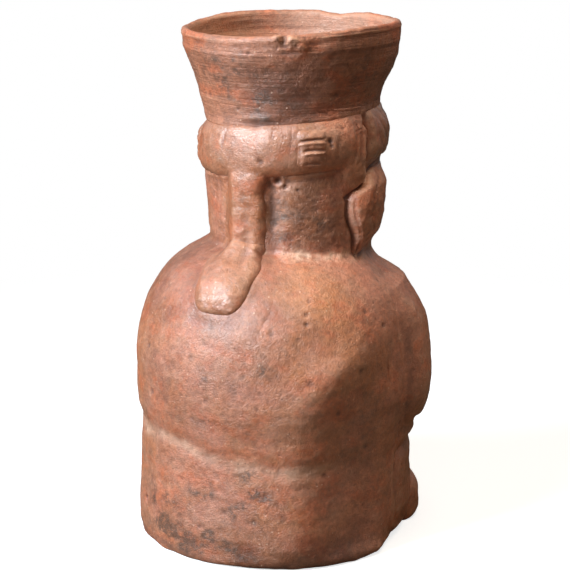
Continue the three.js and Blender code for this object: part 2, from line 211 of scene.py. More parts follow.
# The jar is not quite round: its back is flattened, with a soft corner towards one side
def slump(p):
    turn, az, z = neck_turn(p), body_turn(p), p[..., 2]
    heights = [146, 153.5, 160.5, 168, 174.5, 181, 188, 202, 209, 215, 222, 229, 235.5, 242, 250]
    cheek = np.interp(z, heights, [3.0, 2.4, 2.2, 2.0, 3.6, 1.8, 2.2, 1.9, 0.2, 1.2, 1.6, 3.2, 2.9, 1.6, 1.3])
    heights = [146, 152, 176, 182, 188, 203, 207, 216, 246]
    nape = np.interp(z, heights, [-3.4, -0.8, 0.9, -0.6, -2.2, -2.6, -0.2, 0.9, 1.4])
    head = cheek * (bell(turn_from(turn, 314), 32) + bell(turn_from(turn, 46), 32))
    head += nape * bell(turn_from(turn, 126), 26)
    heights = [0, 14, 30, 45, 52, 60, 67, 74, 84, 96, 111, 119, 126, 133, 141]
    right = np.interp(z, heights, [1.4, 1.4, 1.1, 1.1, 0.6, -0.5, 1.0, 0.8, -0.3, -0.2, -0.3, -0.4, -0.4, 0, 0])
    left = np.interp(z, heights, [1.6, 1.7, 0.7, 1.9, 5.6, 3.8, 2.2, 1.4, 1.0, 0.4, -0.2, 1.6, 2.8, -1.4, -2.0])
    body = right * bell(turn_from(az, 132), 30) + left * bell(turn_from(az, 308), 26)
    corner = turn_from(az, np.interp(z, [0, 75, 88, 100, 114], [225, 228, 234, 243, 253]))
    fold = 2.6 * bell(corner, 14) - 1.9 * bell(corner - 27, 16) - 0.3 * bell(corner + 34, 19)
    body += fold * between(z, 0, 12, 96, 118)
    return lerp(body, head, smooth(142, 153, z))


# Hand-made unevenness: slow wobble that everything shares, and grain on each face
def wobble(p):
    return layered(p, (0.55, 41, 11), (0.36, 19, 12), (0.20, 9, 13)) * smooth(0, 9, p[..., 2]) + slump(p)


def grain(p):
    return layered(p, (0.10, 4.6, 21), (0.07, 2.1, 22), (0.045, 1.1, 23))


def spot(az, z, az0, z0, wide, high, radius):
    across = arc(az, az0, radius) / wide
    return np.exp(-across ** 2 - ((z - z0) / high) ** 2)


# Several spots, each with its azimuth, height, half width, half height and strength
def spots(az, z, radius, *places):
    return sum(much * spot(az, z, *place, radius) for *place, much in places)


def reach_of(p, path):
    least = np.full(p.shape[:-1], 1e9)
    for a, b in zip(path[:-1], path[1:]):
        a, b = np.asarray(a, float), np.asarray(b, float)
        along = np.clip(((p - a) @ (b - a)) / ((b - a) @ (b - a)), 0, 1)
        gap = np.linalg.norm(p - a - along[..., None] * (b - a), axis=-1)
        least = np.minimum(least, gap)
    return least


def path_on(carrier, places):
    return [on_face(carrier, az, z) for az, z in places]


def groove(p, width, carrier, *places):
    return bell(reach_of(p, path_on(carrier, places)), width)


# Small pits and nicks, some where the surface is known to have them and some scattered
def make_pits():
    rng = np.random.default_rng(41)
    pits = []
    for carrier, count, low, high in ((BODY, 300, 3, 145), (HEAD, 110, 146, 246)):
        for _ in range(count):
            az, z = rng.uniform(0, 360), rng.uniform(low, high)
            size = 0.55 + 1.0 * rng.random() ** 3
            pits.append((on_face(carrier, az, z), size, size * rng.uniform(0.25, 0.5)))
    for carrier, known in (
        (BODY, [
            (230, 120, 0.9, 1.2), (230.6, 124, 0.8, 1.0), (267, 114, 1.0, 1.0), (149, 20, 1.2, 2.0),
            (236, 92, 0.7, 0.5), (205, 97, 0.8, 0.5), (183, 73, 0.7, 0.5),
        ]),
        (HEAD, [(209, 181, 1.1, 1.5), (214, 178, 1.0, 1.3), (222, 176.5, 0.7, 0.8)]),
        (ROLL, [
            (240.8, 199.8, 1.1, 1.7), (241.4, 197.6, 0.9, 1.3), (249, 205.5, 0.9, 1.5),
            (268, 207, 1.2, 2.0), (203, 187, 1.0, 1.2), (222, 186, 0.9, 1.0),
        ]),
    ):
        pits += [(on_face(carrier, az, z), size, depth) for az, z, size, depth in known]
    return pits


PITS = make_pits()


def pitted(p):
    flat = p.reshape(-1, 3)
    low, high = flat.min(0) - 4, flat.max(0) + 4
    total = np.zeros(len(flat))
    order = np.argsort(flat[:, 2])
    heights = flat[order, 2]
    for centre, size, depth in PITS:
        if (centre < low).any() or (centre > high).any():
            continue
        first, last = np.searchsorted(heights, [centre[2] - 3 * size, centre[2] + 3 * size])
        near = order[first:last]
        gap = ((flat[near] - centre) ** 2).sum(-1) / size ** 2
        total[near] -= depth * np.exp(-gap)
    return total.reshape(p.shape[:-1])


# Outlines of the applied pieces as distances in millimetres, negative inside
def mirrored(az, side):
    return az if side > 0 else 360 - az


def band_centre(az):
    return BAND_MID + BAND_TILT * np.cos((az - BAND_HIGH) * RAD)


def box_gap(across, up, half_wide, half_high, corner):
    dx = np.abs(across) - half_wide + corner
    dz = np.abs(up) - half_high + corner
    return np.hypot(np.maximum(dx, 0), np.maximum(dz, 0)) + np.minimum(np.maximum(dx, dz), 0) - corner


# The ear: a soft lobe that grows out of the band and ends at a deep groove in front and below
EAR_EDGE = [
    (267.5, 215), (268.6, 210.5), (267.6, 206.5), (270.6, 203), (271.2, 199.5), (269.2, 195.5), (270.2, 191.5),
    (267.8, 187), (269.8, 181), (269, 177.5), (263.7, 175), (255, 172.2),
]


def ear_path(side, shift=0, drop=0):
    return [(mirrored(az + shift, side), z - drop) for az, z in EAR_EDGE]


def ear_height(az, z, side):
    a = mirrored(az, side)
    limit_az, limit_z = zip(*EAR_EDGE[::-1])
    inside = (a < np.interp(z, limit_z, limit_az)) & (z > limit_z[0])
    edge = reach_of(on_face(HEAD, az, z), path_on(HEAD, ear_path(side))) * np.where(inside, 1, -1)
    full = np.interp(z, [171, 176, 182, 190, 199, 204, 208, 211.5], [3.0, 4.0, 4.8, 5.3, 5.3, 4.6, 3.2, 0.4])
    lower = (a * 0.72 - 172.8) * 0.796 + (z - 188) * 0.606
    blend = smooth(-7, 13, lower) * smooth(240, 256, a)
    full *= blend * bulge(1 - np.clip(edge / 2.8, 0, 1), 2.2)
    over = band_height(az, z) + 0.5 * band_relief(az, z)
    height = smooth_max(full, over, 2.0) - 0.3 - 0.6 * (1 - smooth(0, 0.25, blend))
    return height * (edge > 0) - 1.8 * np.clip(-edge / 1.2, 0, 1)


# The side lock: a steep lit flank, a ridge, and a broad side that runs round to the cheek
def lock_field(az, z, side):
    a = mirrored(az, side)
    heights = [141, 145, 149, 153, 157.5, 162, 166, 170, 174, 178]
    left = np.interp(z, heights, [266, 264.5, 264.2, 263.2, 259.8, 257.8, 257.2, 257.4, 260, 268])
    heights = [141, 145, 151.5, 157.5, 164, 170, 177, 183]
    ridge = np.interp(z, heights, [270.5, 268, 267, 264, 265.2, 267.6, 270, 272])
    right = np.interp(z, [141, 146, 152, 160, 172, 179], [278, 294, 304, 307, 307, 304])
    top = np.interp(a, [256, 264, 270, 280, 290, 307], [172.6, 175, 178, 182.5, 185, 185]) - z
    low = z - np.interp(a, [262, 268, 276, 290, 307], [141.5, 142, 143.5, 147.5, 153.5])
    full = np.interp(z, [141, 146, 152, 160, 168, 176, 183], [0.8, 2.6, 4.4, 6.3, 6.9, 5.8, 3.6])
    from_left = (a - left) * RAD * NECK_R
    flank = np.clip((a - left) / (ridge - left), 0, 1)
    plateau = np.clip((a - ridge) / (right - ridge), 0, 1)
    height = np.where(a < ridge, flank ** 0.62 * (1.25 - 0.25 * flank), 1 - 0.55 * plateau)
    height *= full * (1 - plateau ** 6)
    for edge, places, widths in ((top, [274, 284], [3.0, 9.0]), (low, [274, 294], [4.5, 11.0])):
        height *= bulge(1 - np.clip(edge / np.interp(a, places, widths), 0, 1), 2)
    gap = -np.minimum(np.minimum(from_left, top), np.minimum(low, (right - a) * RAD * NECK_R))
    return gap, height - 1.4 * np.clip(gap / 1.2, 0, 1), from_left


def tail_centre(s):
    return np.interp(s, [0, 0.5, 0.62, 0.7, 0.8, 0.9, 1], [182.9, 182.9, 183.8, 185.4, 187.0, 187.7, 188.3])


def tail_half(s):
    width = np.interp(s, [0, 0.5, 0.62, 0.7, 0.8, 0.9, 1], [12.6, 12.6, 14.0, 15.0, 14.6, 14.2, 14.4])
    width += 0.5 * np.sin(17 * s + 0.8) + 0.3 * np.sin(43 * s) + 4.0 * (1 - smooth(0.08, 0.27, s))
    return width * np.sqrt(1 - 0.8 * np.clip(s, 0, 1) ** 44)


def tail_gap(p):
    az = neck_turn(p)
    reach = np.hypot(p[..., 0], p[..., 1])
    s = 0.6 + 0.4 * (reach - NECK_R + NECK_FORWARD) / (TAIL_REACH - NECK_R + NECK_FORWARD)
    out = neck_reach(p)
    s = np.where(out < NECK_R + 2.5, 0.5, s)
    across = np.abs(turn_from(az, tail_centre(s))) * RAD * out - tail_half(np.clip(s, 0, 1))
    beyond = np.maximum(s - 1, 0) * 78
    return np.where(beyond > 0, np.hypot(np.maximum(across, 0), beyond), across)


def arm_gap(az, z, side):
    a = mirrored(az, side)
    half_wide = lerp(27, 21, np.clip((127 - z) / 72, 0, 1))
    upper = box_gap(arc(a, 298, ARM_R), z - 91, half_wide, 36, 19)
    x = arc(a, ELBOW_AZ, ARM_R)
    end_x, end_z = WRIST * (FINGER_AZ - ELBOW_AZ) * RAD * ARM_R, WRIST * (FINGER_Z - ELBOW_Z)
    along = np.clip((x * end_x + (z - ELBOW_Z) * end_z) / (end_x ** 2 + end_z ** 2), 0, 1)
    return upper, np.hypot(x - along * end_x, z - ELBOW_Z - along * end_z) - ARM_HALF


def leg_gap(az, z, side):
    return box_gap(arc(mirrored(az, side), LEG_AZ, LEG_R), z - LEG_Z, 31 * RAD * LEG_R, 23, 12)


def foot_gap(az, z, side):
    across = arc(mirrored(az, side), FOOT_AZ, LEG_R)
    return box_gap(across, z - FOOT_Z, FOOT_REACH * RAD * LEG_R, FOOT_Z, 8)


# A mound that fades into the wall
def swell(gap, full, width):
    return full * smooth(0, 1, -gap / width) - 1.4 * np.clip(gap / 2.5, 0, 1)


# Clay pushed up outside the edge of a piece
def creep(gap, height, width):
    return height * bell(np.maximum(gap, 0), width)


# What the potter's hand left on each wall
def waist_line(az):
    return np.interp(az, [100, 143, 171, 194, 216, 232, 248, 300], [52, 57, 59, 54.5, 50.8, 50.3, 51, 50])


def body_marks(az, z, p):
    marks = creep(tail_gap(p), 0.4, 1.8) * smooth(95, 118, z)
    line = z - waist_line(az)
    band = 0.4 * bell(line - 8, 5) - 0.4 * bell(line + 0.5, 3.6)
    rough = 0.16 * noise(p, 1.6, 34) * bell(line + 0.5, 3.2)
    marks += between(az, 100, 125, 246, 262) * (band * lerp(0.45, 1, smooth(150, 190, az)) + rough)
    for side in (1, -1):
        marks += creep(arm_gap(az, z, side)[1], 0.9, 2.6)
        marks += creep(leg_gap(az, z, side), 0.8, 2.2) + creep(foot_gap(az, z, side), 0.8, 2.0)
    marks += spots(az, z, BELLY_R, (268, 93, 1.0, 9, -0.55), (266, 84, 1.6, 6, -0.4))
    marks += noise(p, 1.7, 31) * spots(az, z, BODY_SPAN, (254.5, 112.5, 7, 6, 0.3))
    marks += noise(p, (9, 9, 40), 32) * spots(az, z, BODY_SPAN, (150, 30, 26, 24, 0.28))
    marks += 0.07 * noise(p, (24, 24, 3.0), 33) * (1 - smooth(110, 130, z))
    marks -= 0.4 * groove(p, 0.42, BODY, (216, 127), (212.5, 121), (210, 116))
    marks -= 0.22 * groove(p, 0.8, BODY, (186, 46), (191, 39), (199, 36))
    marks += spots(az, z, 60, (186, 118.5, 9, 2.2, -0.5)) * smooth(0, 0.4, tail_gap(p))
    return marks


def neck_marks(az, z, p):
    marks = spots(az, z, NECK_R, (0, 178.5, 26, 4.0, 1.4), (0, 142.5, 11, 5.5, 2.4), (0, 149.5, 14, 6.0, 1.2))
    marks += creep(np.abs(z - band_centre(az)) - BAND_HALF, 0.9, 1.8)
    marks += creep(tail_gap(p), 0.5, 1.8) * smooth(-6, 6, turn_from(az, TAIL_AZ))
    for side in (1, -1):
        marks += spots(az, z, NECK_R, (EYE_AZ * side, 171.5, 10, 6.0, -1.5), (37 * side, 158, 9, 9.5, 1.9))
        marks -= 2.4 * groove(p, 1.4, HEAD, *ear_path(side, 1.2, 0.6))
        gap = lock_field(az, z, side)[0]
        marks += 0.2 * bell(gap - 3.2, 1.6) - 0.8 * bell(gap - 0.6, 0.9)
    marks += spots(az, z, NECK_R, (205.5, 165, 3.6, 16, -1.5), (212, 181, 6, 3, -0.9))
    marks += 0.5 * bell(np.hypot(arc(az, 209, NECK_R), z - 181) - 2.7, 0.7)
    for at, deep in ((162.5, 0.25), (157, 0.12)):
        marks -= deep * spot(az, z, at + 0.04 * (z - 176), 172, 1.1, 16, NECK_R) * smooth(150, 156, z)
    rough = between(az, 200, 206, 255, 262) * (1 - smooth(176, 184, z))
    marks += rough * layered(p, (0.09, 2.8, 41), (0.13, 1.3, 42), (0.4, 9, 49))
    low_down = (1 - smooth(160, 167, z)) * between(az, 208, 216, 246, 254)
    marks -= 0.16 * low_down * bell(layered(p, (1, 5.2, 45), (0.35, 2.2, 46)), 0.07)
    crumbs = bell(z - join_height(az) - 0.8 * noise(p, 7, 47), 1.5)
    crumbs *= 0.25 + 0.75 * between(az, 205, 218, 262, 276)
    marks += crumbs * (layered(p, (0.42, 3.1, 43), (0.2, 9, 48)) + 0.28 * np.abs(noise(p, 1.2, 44)))
    return marks


# Height of the shoulder where it meets the head, or another circle round the head's axis
def join_height(az, reach=NECK_R):
    return dome_height(np.hypot(reach * np.sin(az * RAD), NECK_FORWARD + reach * np.cos(az * RAD)))


def collar_marks(az, z, p):
    fine = 0.10 * noise(p, (22, 22, 0.8), 51) * (0.6 + 0.7 * noise(p, 17, 54))
    marks = smooth(205, 209, z) * (fine + layered(p, (0.09, (34, 34, 1.9), 52), (0.2, (30, 30, 5.5), 53)))
    above = z - band_centre(az) - BAND_HALF
    from_tail = turn_from(az, 197)
    marks += creep(above, 1.0, 2.4) * (0.4 + 0.6 * smooth(10, 26, np.abs(from_tail)))
    marks += 1.1 * bell(above - 3.4, 1.7) * bell(from_tail, 15)
    from_lip = z - rim_rise(az)
    ledge = 0.28 * bell(from_lip - 245.4 - 0.7 * noise(p, 14, 55), 0.8)
    marks += 0.4 * bell(from_lip - 248.6, 1.7) - ledge * (0.1 + 0.6 * between(az, 200, 212, 232, 246))
    marks -= 0.45 * bell(z - 241, 3.2)
    for scratch in (
        [(246, 236), (251, 234), (254, 231), (251, 229)], [(248, 238), (252, 231)], [(255, 236), (257, 231)],
        [(236, 213), (243, 211)], [(206, 242), (231, 243.5)], [(262, 240), (266, 241)],
    ):
        marks -= 0.28 * groove(p, 0.4, HEAD, *scratch)
    return marks


# How far the uneven lip stands above or below its solid
def rim_rise(az):
    places = [114, 131, 161, 193, 212, 222, 238, 263, 300, 326, 347, 359, 369, 376, 381, 404, 428, 446, 474]
    rises = [-2.6, -2.2, -2.2, -1.7, -0.8, -0.3, 0.9, 1.9, 1.1, 0.3, 0.4, 0, -1.6, -1.1, -0.2, -0.1, 0.2, -0.6]
    return np.interp((az - places[0]) % 360 + places[0], places, rises + rises[:1])


def lip_lift(az, z):
    return rim_rise(az) * smooth(218, 250, z)


# Meshes from grids of points
def quads_of(rows, cols, closed, start=0):
    steps = [np.arange(count if closed else count - 1) for count in (rows, cols)]
    r, c = np.meshgrid(*steps, indexing="ij")
    r2, c2 = (r + 1) % rows, (c + 1) % cols
    return np.stack([r * cols + c, r * cols + c2, r2 * cols + c2, r2 * cols + c], -1).reshape(-1, 4) + start


def new_object(name, data):
    made = bpy.data.objects.new(name, data)
    bpy.context.scene.collection.objects.link(made)
    return made


def mesh_piece(name, points, faces, layers, slot, *nodes):
    mesh = bpy.data.meshes.new(name)
    mesh.vertices.add(len(points))
    mesh.vertices.foreach_set("co", (points * MM).astype(np.float32).ravel())
    mesh.loops.add(faces.size)
    mesh.loops.foreach_set("vertex_index", faces.astype(np.int32).ravel())
    mesh.polygons.add(len(faces))
    mesh.polygons.foreach_set("loop_start", np.arange(0, faces.size, 4, dtype=np.int32))
    mesh.update(calc_edges=True)
    for key, values in layers.items():
        layer = mesh.attributes.new(key, "FLOAT", "POINT")
        layer.data.foreach_set("value", values.astype(np.float32).ravel())
    mesh.shade_smooth()
    mesh.materials.append(CLAYS[slot])
    piece = new_object(name, mesh)
    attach(piece, "root")
    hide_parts(*nodes)


# The average over a square of rows and columns; columns can run round
def blurred(values, reach, closed):
    for axis, mode in ((0, "edge"), (1, "wrap" if closed else "edge")):
        pad = [(0, 0), (0, 0)]
        pad[axis] = (reach, reach)
        wide = np.pad(values, pad, mode=mode)
        here = np.arange(values.shape[axis])
        values = sum(np.take(wide, here + k, axis) for k in range(2 * reach + 1)) / (2 * reach + 1)
    return values


# Where the clay is smoked, pale, ochre or dirty, and where shade and light are painted into its colour
def paint(p, hollow=False):
    az, turn, z = body_turn(p), neck_turn(p), p[..., 2]
    on_neck = smooth(HEAD_LOW, 152, z)
    on_body = 1 - on_neck
    on_head = smooth(HEAD_LOW, 150, z) * (z < BAND_LOW)
    ragged = 0.55 + layered(p, (0.9, 5.5, 61), (0.5, 2.4, 62))
    soot = smooth(203, 208, z) * spots(
        turn, z, COLLAR_SPAN, (173, 225, 4.5, 13, 0.95), (200, 222, 4.5, 7, 0.5), (200, 213.5, 8, 5, 0.8),
        (189, 236, 6, 5, 0.6), (160, 234, 5, 9, 0.5), (214, 229, 12, 8, 0.35), (222, 217, 16, 3, 0.4),
        (262, 230, 16, 12, 0.3), (140, 226, 8, 10, 0.35), (181, 232, 12, 4, 0.35),
    )
    soot += (1 - smooth(140, 150, z)) * spots(
        az, z, BODY_SPAN,
        (190, 38, 7, 3.5, 0.7), (174, 6, 14, 5, 0.8), (200, 92, 9, 8, 0.35), (182, 70, 16, 5, 0.35),
        (182, 37, 7, 5, 0.8), (167, 12, 9, 6, 0.9), (192, 15, 7, 5, 0.8), (206, 46, 5, 4, 0.7),
        (212, 100, 2.5, 3.5, 0.7), (158, 22, 9, 12, 0.5), (189, 92, 6, 5, 0.4), (173, 24, 7, 5, 0.6),
        (203, 7, 9, 4, 0.6), (215, 30, 18, 12, 0.35), (168, 30, 10, 8, 0.3), (255, 70, 14, 22, 0.35),
        (228, 72, 12, 8, 0.25), (201, 28, 6, 6, 0.8), (210, 38, 5, 4, 0.7), (184, 10, 18, 6, 0.7),
        (240, 8, 18, 5, 0.4), (150, 66, 8, 6, 0.3), (206, 66, 12, 4, 0.12), (160, 100, 9, 10, 0.2),
    )
    # On the head, a broad darker patch between tail and lock and a narrow darker streak along the tail's right
    # edge
    soot += on_head * spots(turn, z, HEAD_SPAN, (234, 156, 26, 15, 0.5), (206, 168, 5, 14, 0.5))
    soot = np.clip(soot * np.clip(ragged, 0, 1.4), 0, 1)

    line = bell(z - waist_line(az) + 1.2 - layered(p, (1.6, 7, 63), (0.8, 2.6, 69)), 3.2)
    line *= between(az, 112, 135, 232, 252) * (0.6 + 0.4 * noise(p, 9, 64))
    joint = bell(z - join_height(turn) - 0.8, 2.2) * between(turn, 206, 220, 270, 284)
    joint *= (neck_reach(p) < 50) * (0.6 + 0.7 * noise(p, 2.2, 65))
    chip = spots(turn, z, LIP_SPAN, (214, 249, 6, 4, 0.15), (220, 245, 5, 4, 0.15))
    # Painted light: the inner wall of the collar is painted paler, standing in for the light that falls into the
    # mouth
    inside = smooth(1.5, 3.0, head_radius(z) - neck_reach(p)) * smooth(200, 212, z)
    pale = np.clip(line * on_body * 0.8 + joint * 0.8 + chip + inside * 0.35, 0, 1)

    ochre = spots(az, z, 66, (239, 122, 15, 9, 1)) + spots(az, z, 60, (222, 133, 26, 7, 0.6))
    ochre += spots(az, z, 70, (246, 96, 16, 14, 0.5), (226, 96, 16, 22, 0.45))
    ochre = (ochre + spots(az, z, BODY_SPAN, (217, 30, 22, 22, 0.45))) * on_body
    ochre += spots(turn, z, HEAD_SPAN, (230, 163, 34, 26, 0.6)) * on_neck * (z < 188)
    ochre = np.clip(ochre * (0.75 + 0.5 * noise(p, 7, 66)), 0, 1)
    dusk = smooth(0.0, 0.6, layered(p, (1, 17, 67), (0.5, 7, 68)))

    # Painted shade: darker on the top of the shoulder, a broad place on the near belly, the low far side of the
    # body, the foot edge in front, the neck between tail and lock, and the collar's underside
    painted_shade = 0.75 * smooth(98, 124, z) * (1 - 0.9 * smooth(208, 240, az))
    painted_shade += spots(az, z, 70, (172, 84, 26, 24, 0.3)) + spots(az, z, BODY_SPAN, (252, 42, 26, 24, 0.3))
    painted_shade = painted_shade * on_body + 1.1 * between(az, 192, 208, 236, 262) * (1 - smooth(7, 23, z))
    flush = 1 - smooth(NECK_R + 0.8, NECK_R + 2.6, neck_reach(p))
    painted_shade += spots(turn, z, HEAD_SPAN, (238, 160, 44, 24, 0.75)) * on_neck * (z < 186) * flush
    low_collar = between(z, 203, 207, 216, 244) * (1 - smooth(285, 310, turn))
    painted_shade += smooth(178, 204, turn) * (1 - 0.7 * smooth(222, 250, turn)) * low_collar
    painted_shade = np.clip(painted_shade * (0.85 + 0.5 * noise(p, 9, 70)), 0, 1)
    # Inside the hollow a flat painted shade and a ragged darkening in the soot layer, with no pale or ochre
    return {
        "soot": np.where(hollow, 0.25 * np.clip(ragged, 0, 1), soot), "pale": np.where(hollow, 0, pale),
        "ochre": np.where(hollow, 0, ochre), "dusk": dusk, "painted_shade": np.where(hollow, 0.3, painted_shade),
    }


# Darker in the hollows and creases of a piece's relief, paler on its ridges
def creases_and_wear(offset, closed):
    value = 2.6 * (blurred(offset, 2, closed) - offset) + 0.9 * (blurred(offset, 5, closed) - offset)
    return {"crease_darkening": np.clip(value, 0, 1), "wear": np.clip(-value, 0, 1)}


# A grid closed both ways; the rows past those of offset are the hollow inside
def ring_piece(name, points, offset, slot, *nodes):
    rows, cols = points.shape[:2]
    hollow = (np.arange(rows) >= len(offset))[:, None]
    offset = np.pad(offset, ((0, rows - len(offset)), (0, 0)))
    layers = paint(points, hollow) | creases_and_wear(offset, True)
    mesh_piece(name, points.reshape(-1, 3), quads_of(rows, cols, True), layers, slot, *nodes)


# A slab between two grids, closed round its edge, in place of the node of the same name
def sheet_piece(name, top, bottom, offset, slot):
    rows, cols = offset.shape
    under = rows * cols
    grid = np.arange(under).reshape(rows, cols)
    rim = np.concatenate([grid[0], grid[1:, -1], grid[-1, -2::-1], grid[-2:0:-1, 0]])
    after = np.roll(rim, -1)
    faces = np.concatenate([
        quads_of(rows, cols, False)[:, ::-1], quads_of(rows, cols, False, under),
        np.stack([rim, after, after + under, rim + under], -1),
    ])
    layers = {key: np.tile(v.ravel(), 2) for key, v in (paint(top) | creases_and_wear(offset, False)).items()}
    points = np.concatenate([top.reshape(-1, 3), bottom.reshape(-1, 3)])
    mesh_piece(name, points, faces, layers, slot, name)


# A strip of clay: s runs along it from 0 to 1, and u across it from -1 to 1
def unit_grid(along, across, even=True):
    s = np.linspace(0, 1, along + 1)[:, None]
    s = s if even else (1 - np.cos(s * math.pi)) / 2
    return s, np.sin(np.linspace(-math.pi / 2, math.pi / 2, across + 1))[None, :]


# The same along a spine on a wall
def strip_grid(carrier, spine, half, along, across, even=True):
    s, u = unit_grid(along, across, even)
    (az, z), (az1, z1), (az2, z2) = spine(s), spine(s - 0.01), spine(s + 0.01)
    radius = carrier[1](az, z)
    hx, hz = (az2 - az1) * RAD * radius, z2 - z1
    side = u * half(s) / np.hypot(hx, hz)
    return s, u, az - hz * side / radius / RAD, z + hx * side


def patch_part(carrier, az, z, height, under):
    base, normal = face_and_normal(carrier, az, z)
    top = base + normal * (wobble(base) + height)[..., None]
    fine = grain(top) + pitted(top)
    top += normal * fine[..., None]
    return top, base + normal * (np.minimum(height, 0) - under)[..., None], height + fine


# A patch of clay on a face, in place of the node of the same name
def lay(name, carrier, az, z, height, under=1.8, slot="fired_clay"):
    sheet_piece(name, *patch_part(carrier, az, z, height, under), slot)


# Materials: a cleared node tree, where add() makes a node, fills its sockets and returns its outputs
class Shades:
    def __init__(self, owner):
        owner.use_nodes = True
        self.tree = owner.node_tree
        self.tree.nodes.clear()

    def add(self, kind, settings=None, **sockets):
        made = self.tree.nodes.new("ShaderNode" + kind)
        for key, value in (settings or {}).items():
            setattr(made, key, value)
        for key, value in sockets.items():
            socket = made.inputs[int(key[1:]) if key[1:].isdigit() else key.replace("_", " ")]
            if isinstance(value, bpy.types.NodeSocket):
                self.tree.links.new(value, socket)
            else:
                socket.default_value = value
        return made.outputs

    def noise(self, size, detail=3, rough=0.55, stretch=(1, 1, 1), shift=0.0, distortion=0.0):
        place = self.add("TexCoord")["Object"]
        place = self.add("Mapping", i0=place, i1=(shift, shift * 0.7, 0), i3=stretch)[0]
        return self.add(
            "TexNoise", Vector=place, Scale=1 / size / MM,
            Detail=detail, Roughness=rough, Distortion=distortion,
        )["Fac"]

    def cells(self, size, low, high, to_low=1.0, to_high=0.0):
        place = self.add("TexCoord")["Object"]
        far = self.add("TexVoronoi", Vector=place, Scale=1 / size / MM)["Distance"]
        return self.ramp(far, low, high, to_low, to_high)

    def layer(self, name):
        return self.add("Attribute", {"attribute_name": name})["Fac"]

    def ramp(self, value, low, high, to_low=0.0, to_high=1.0):
        settings = {"interpolation_type": "SMOOTHSTEP"}
        return self.add("MapRange", settings, i0=value, i1=low, i2=high, i3=to_low, i4=to_high)[0]

    def math(self, operation, a, b):
        return self.add("Math", {"operation": operation}, i0=a, i1=b)[0]

    def times(self, a, b):
        return self.math("MULTIPLY", a, b)

    def mix(self, share, a, b, blend="MIX"):
        return self.add("Mix", {"data_type": "RGBA", "blend_type": blend}, i0=share, i6=a, i7=b)[2]

    def tint(self, share, strength, tone, blend="MIX"):
        self.colour = self.mix(self.times(share, strength), self.colour, linear(*tone), blend)

    def bump(self, strength, height):
        return self.add("Bump", Strength=strength, Distance=BUMP_DEPTH, Height=height)[0]

    def glow(self, kind, colour, strength=None):
        more = {} if strength is None else {"Strength": strength}
        return self.add(kind, Color=(*colour, 1), **more)[0]

    def blend(self, share, a, b):
        return self.add("MixShader", i0=share, i1=a, i2=b)[0]


def linear(red, green, blue):
    values = [v / 255 for v in (red, green, blue)]
    return [v / 12.92 if v <= 0.04045 else ((v + 0.055) / 1.055) ** 2.4 for v in values] + [1]


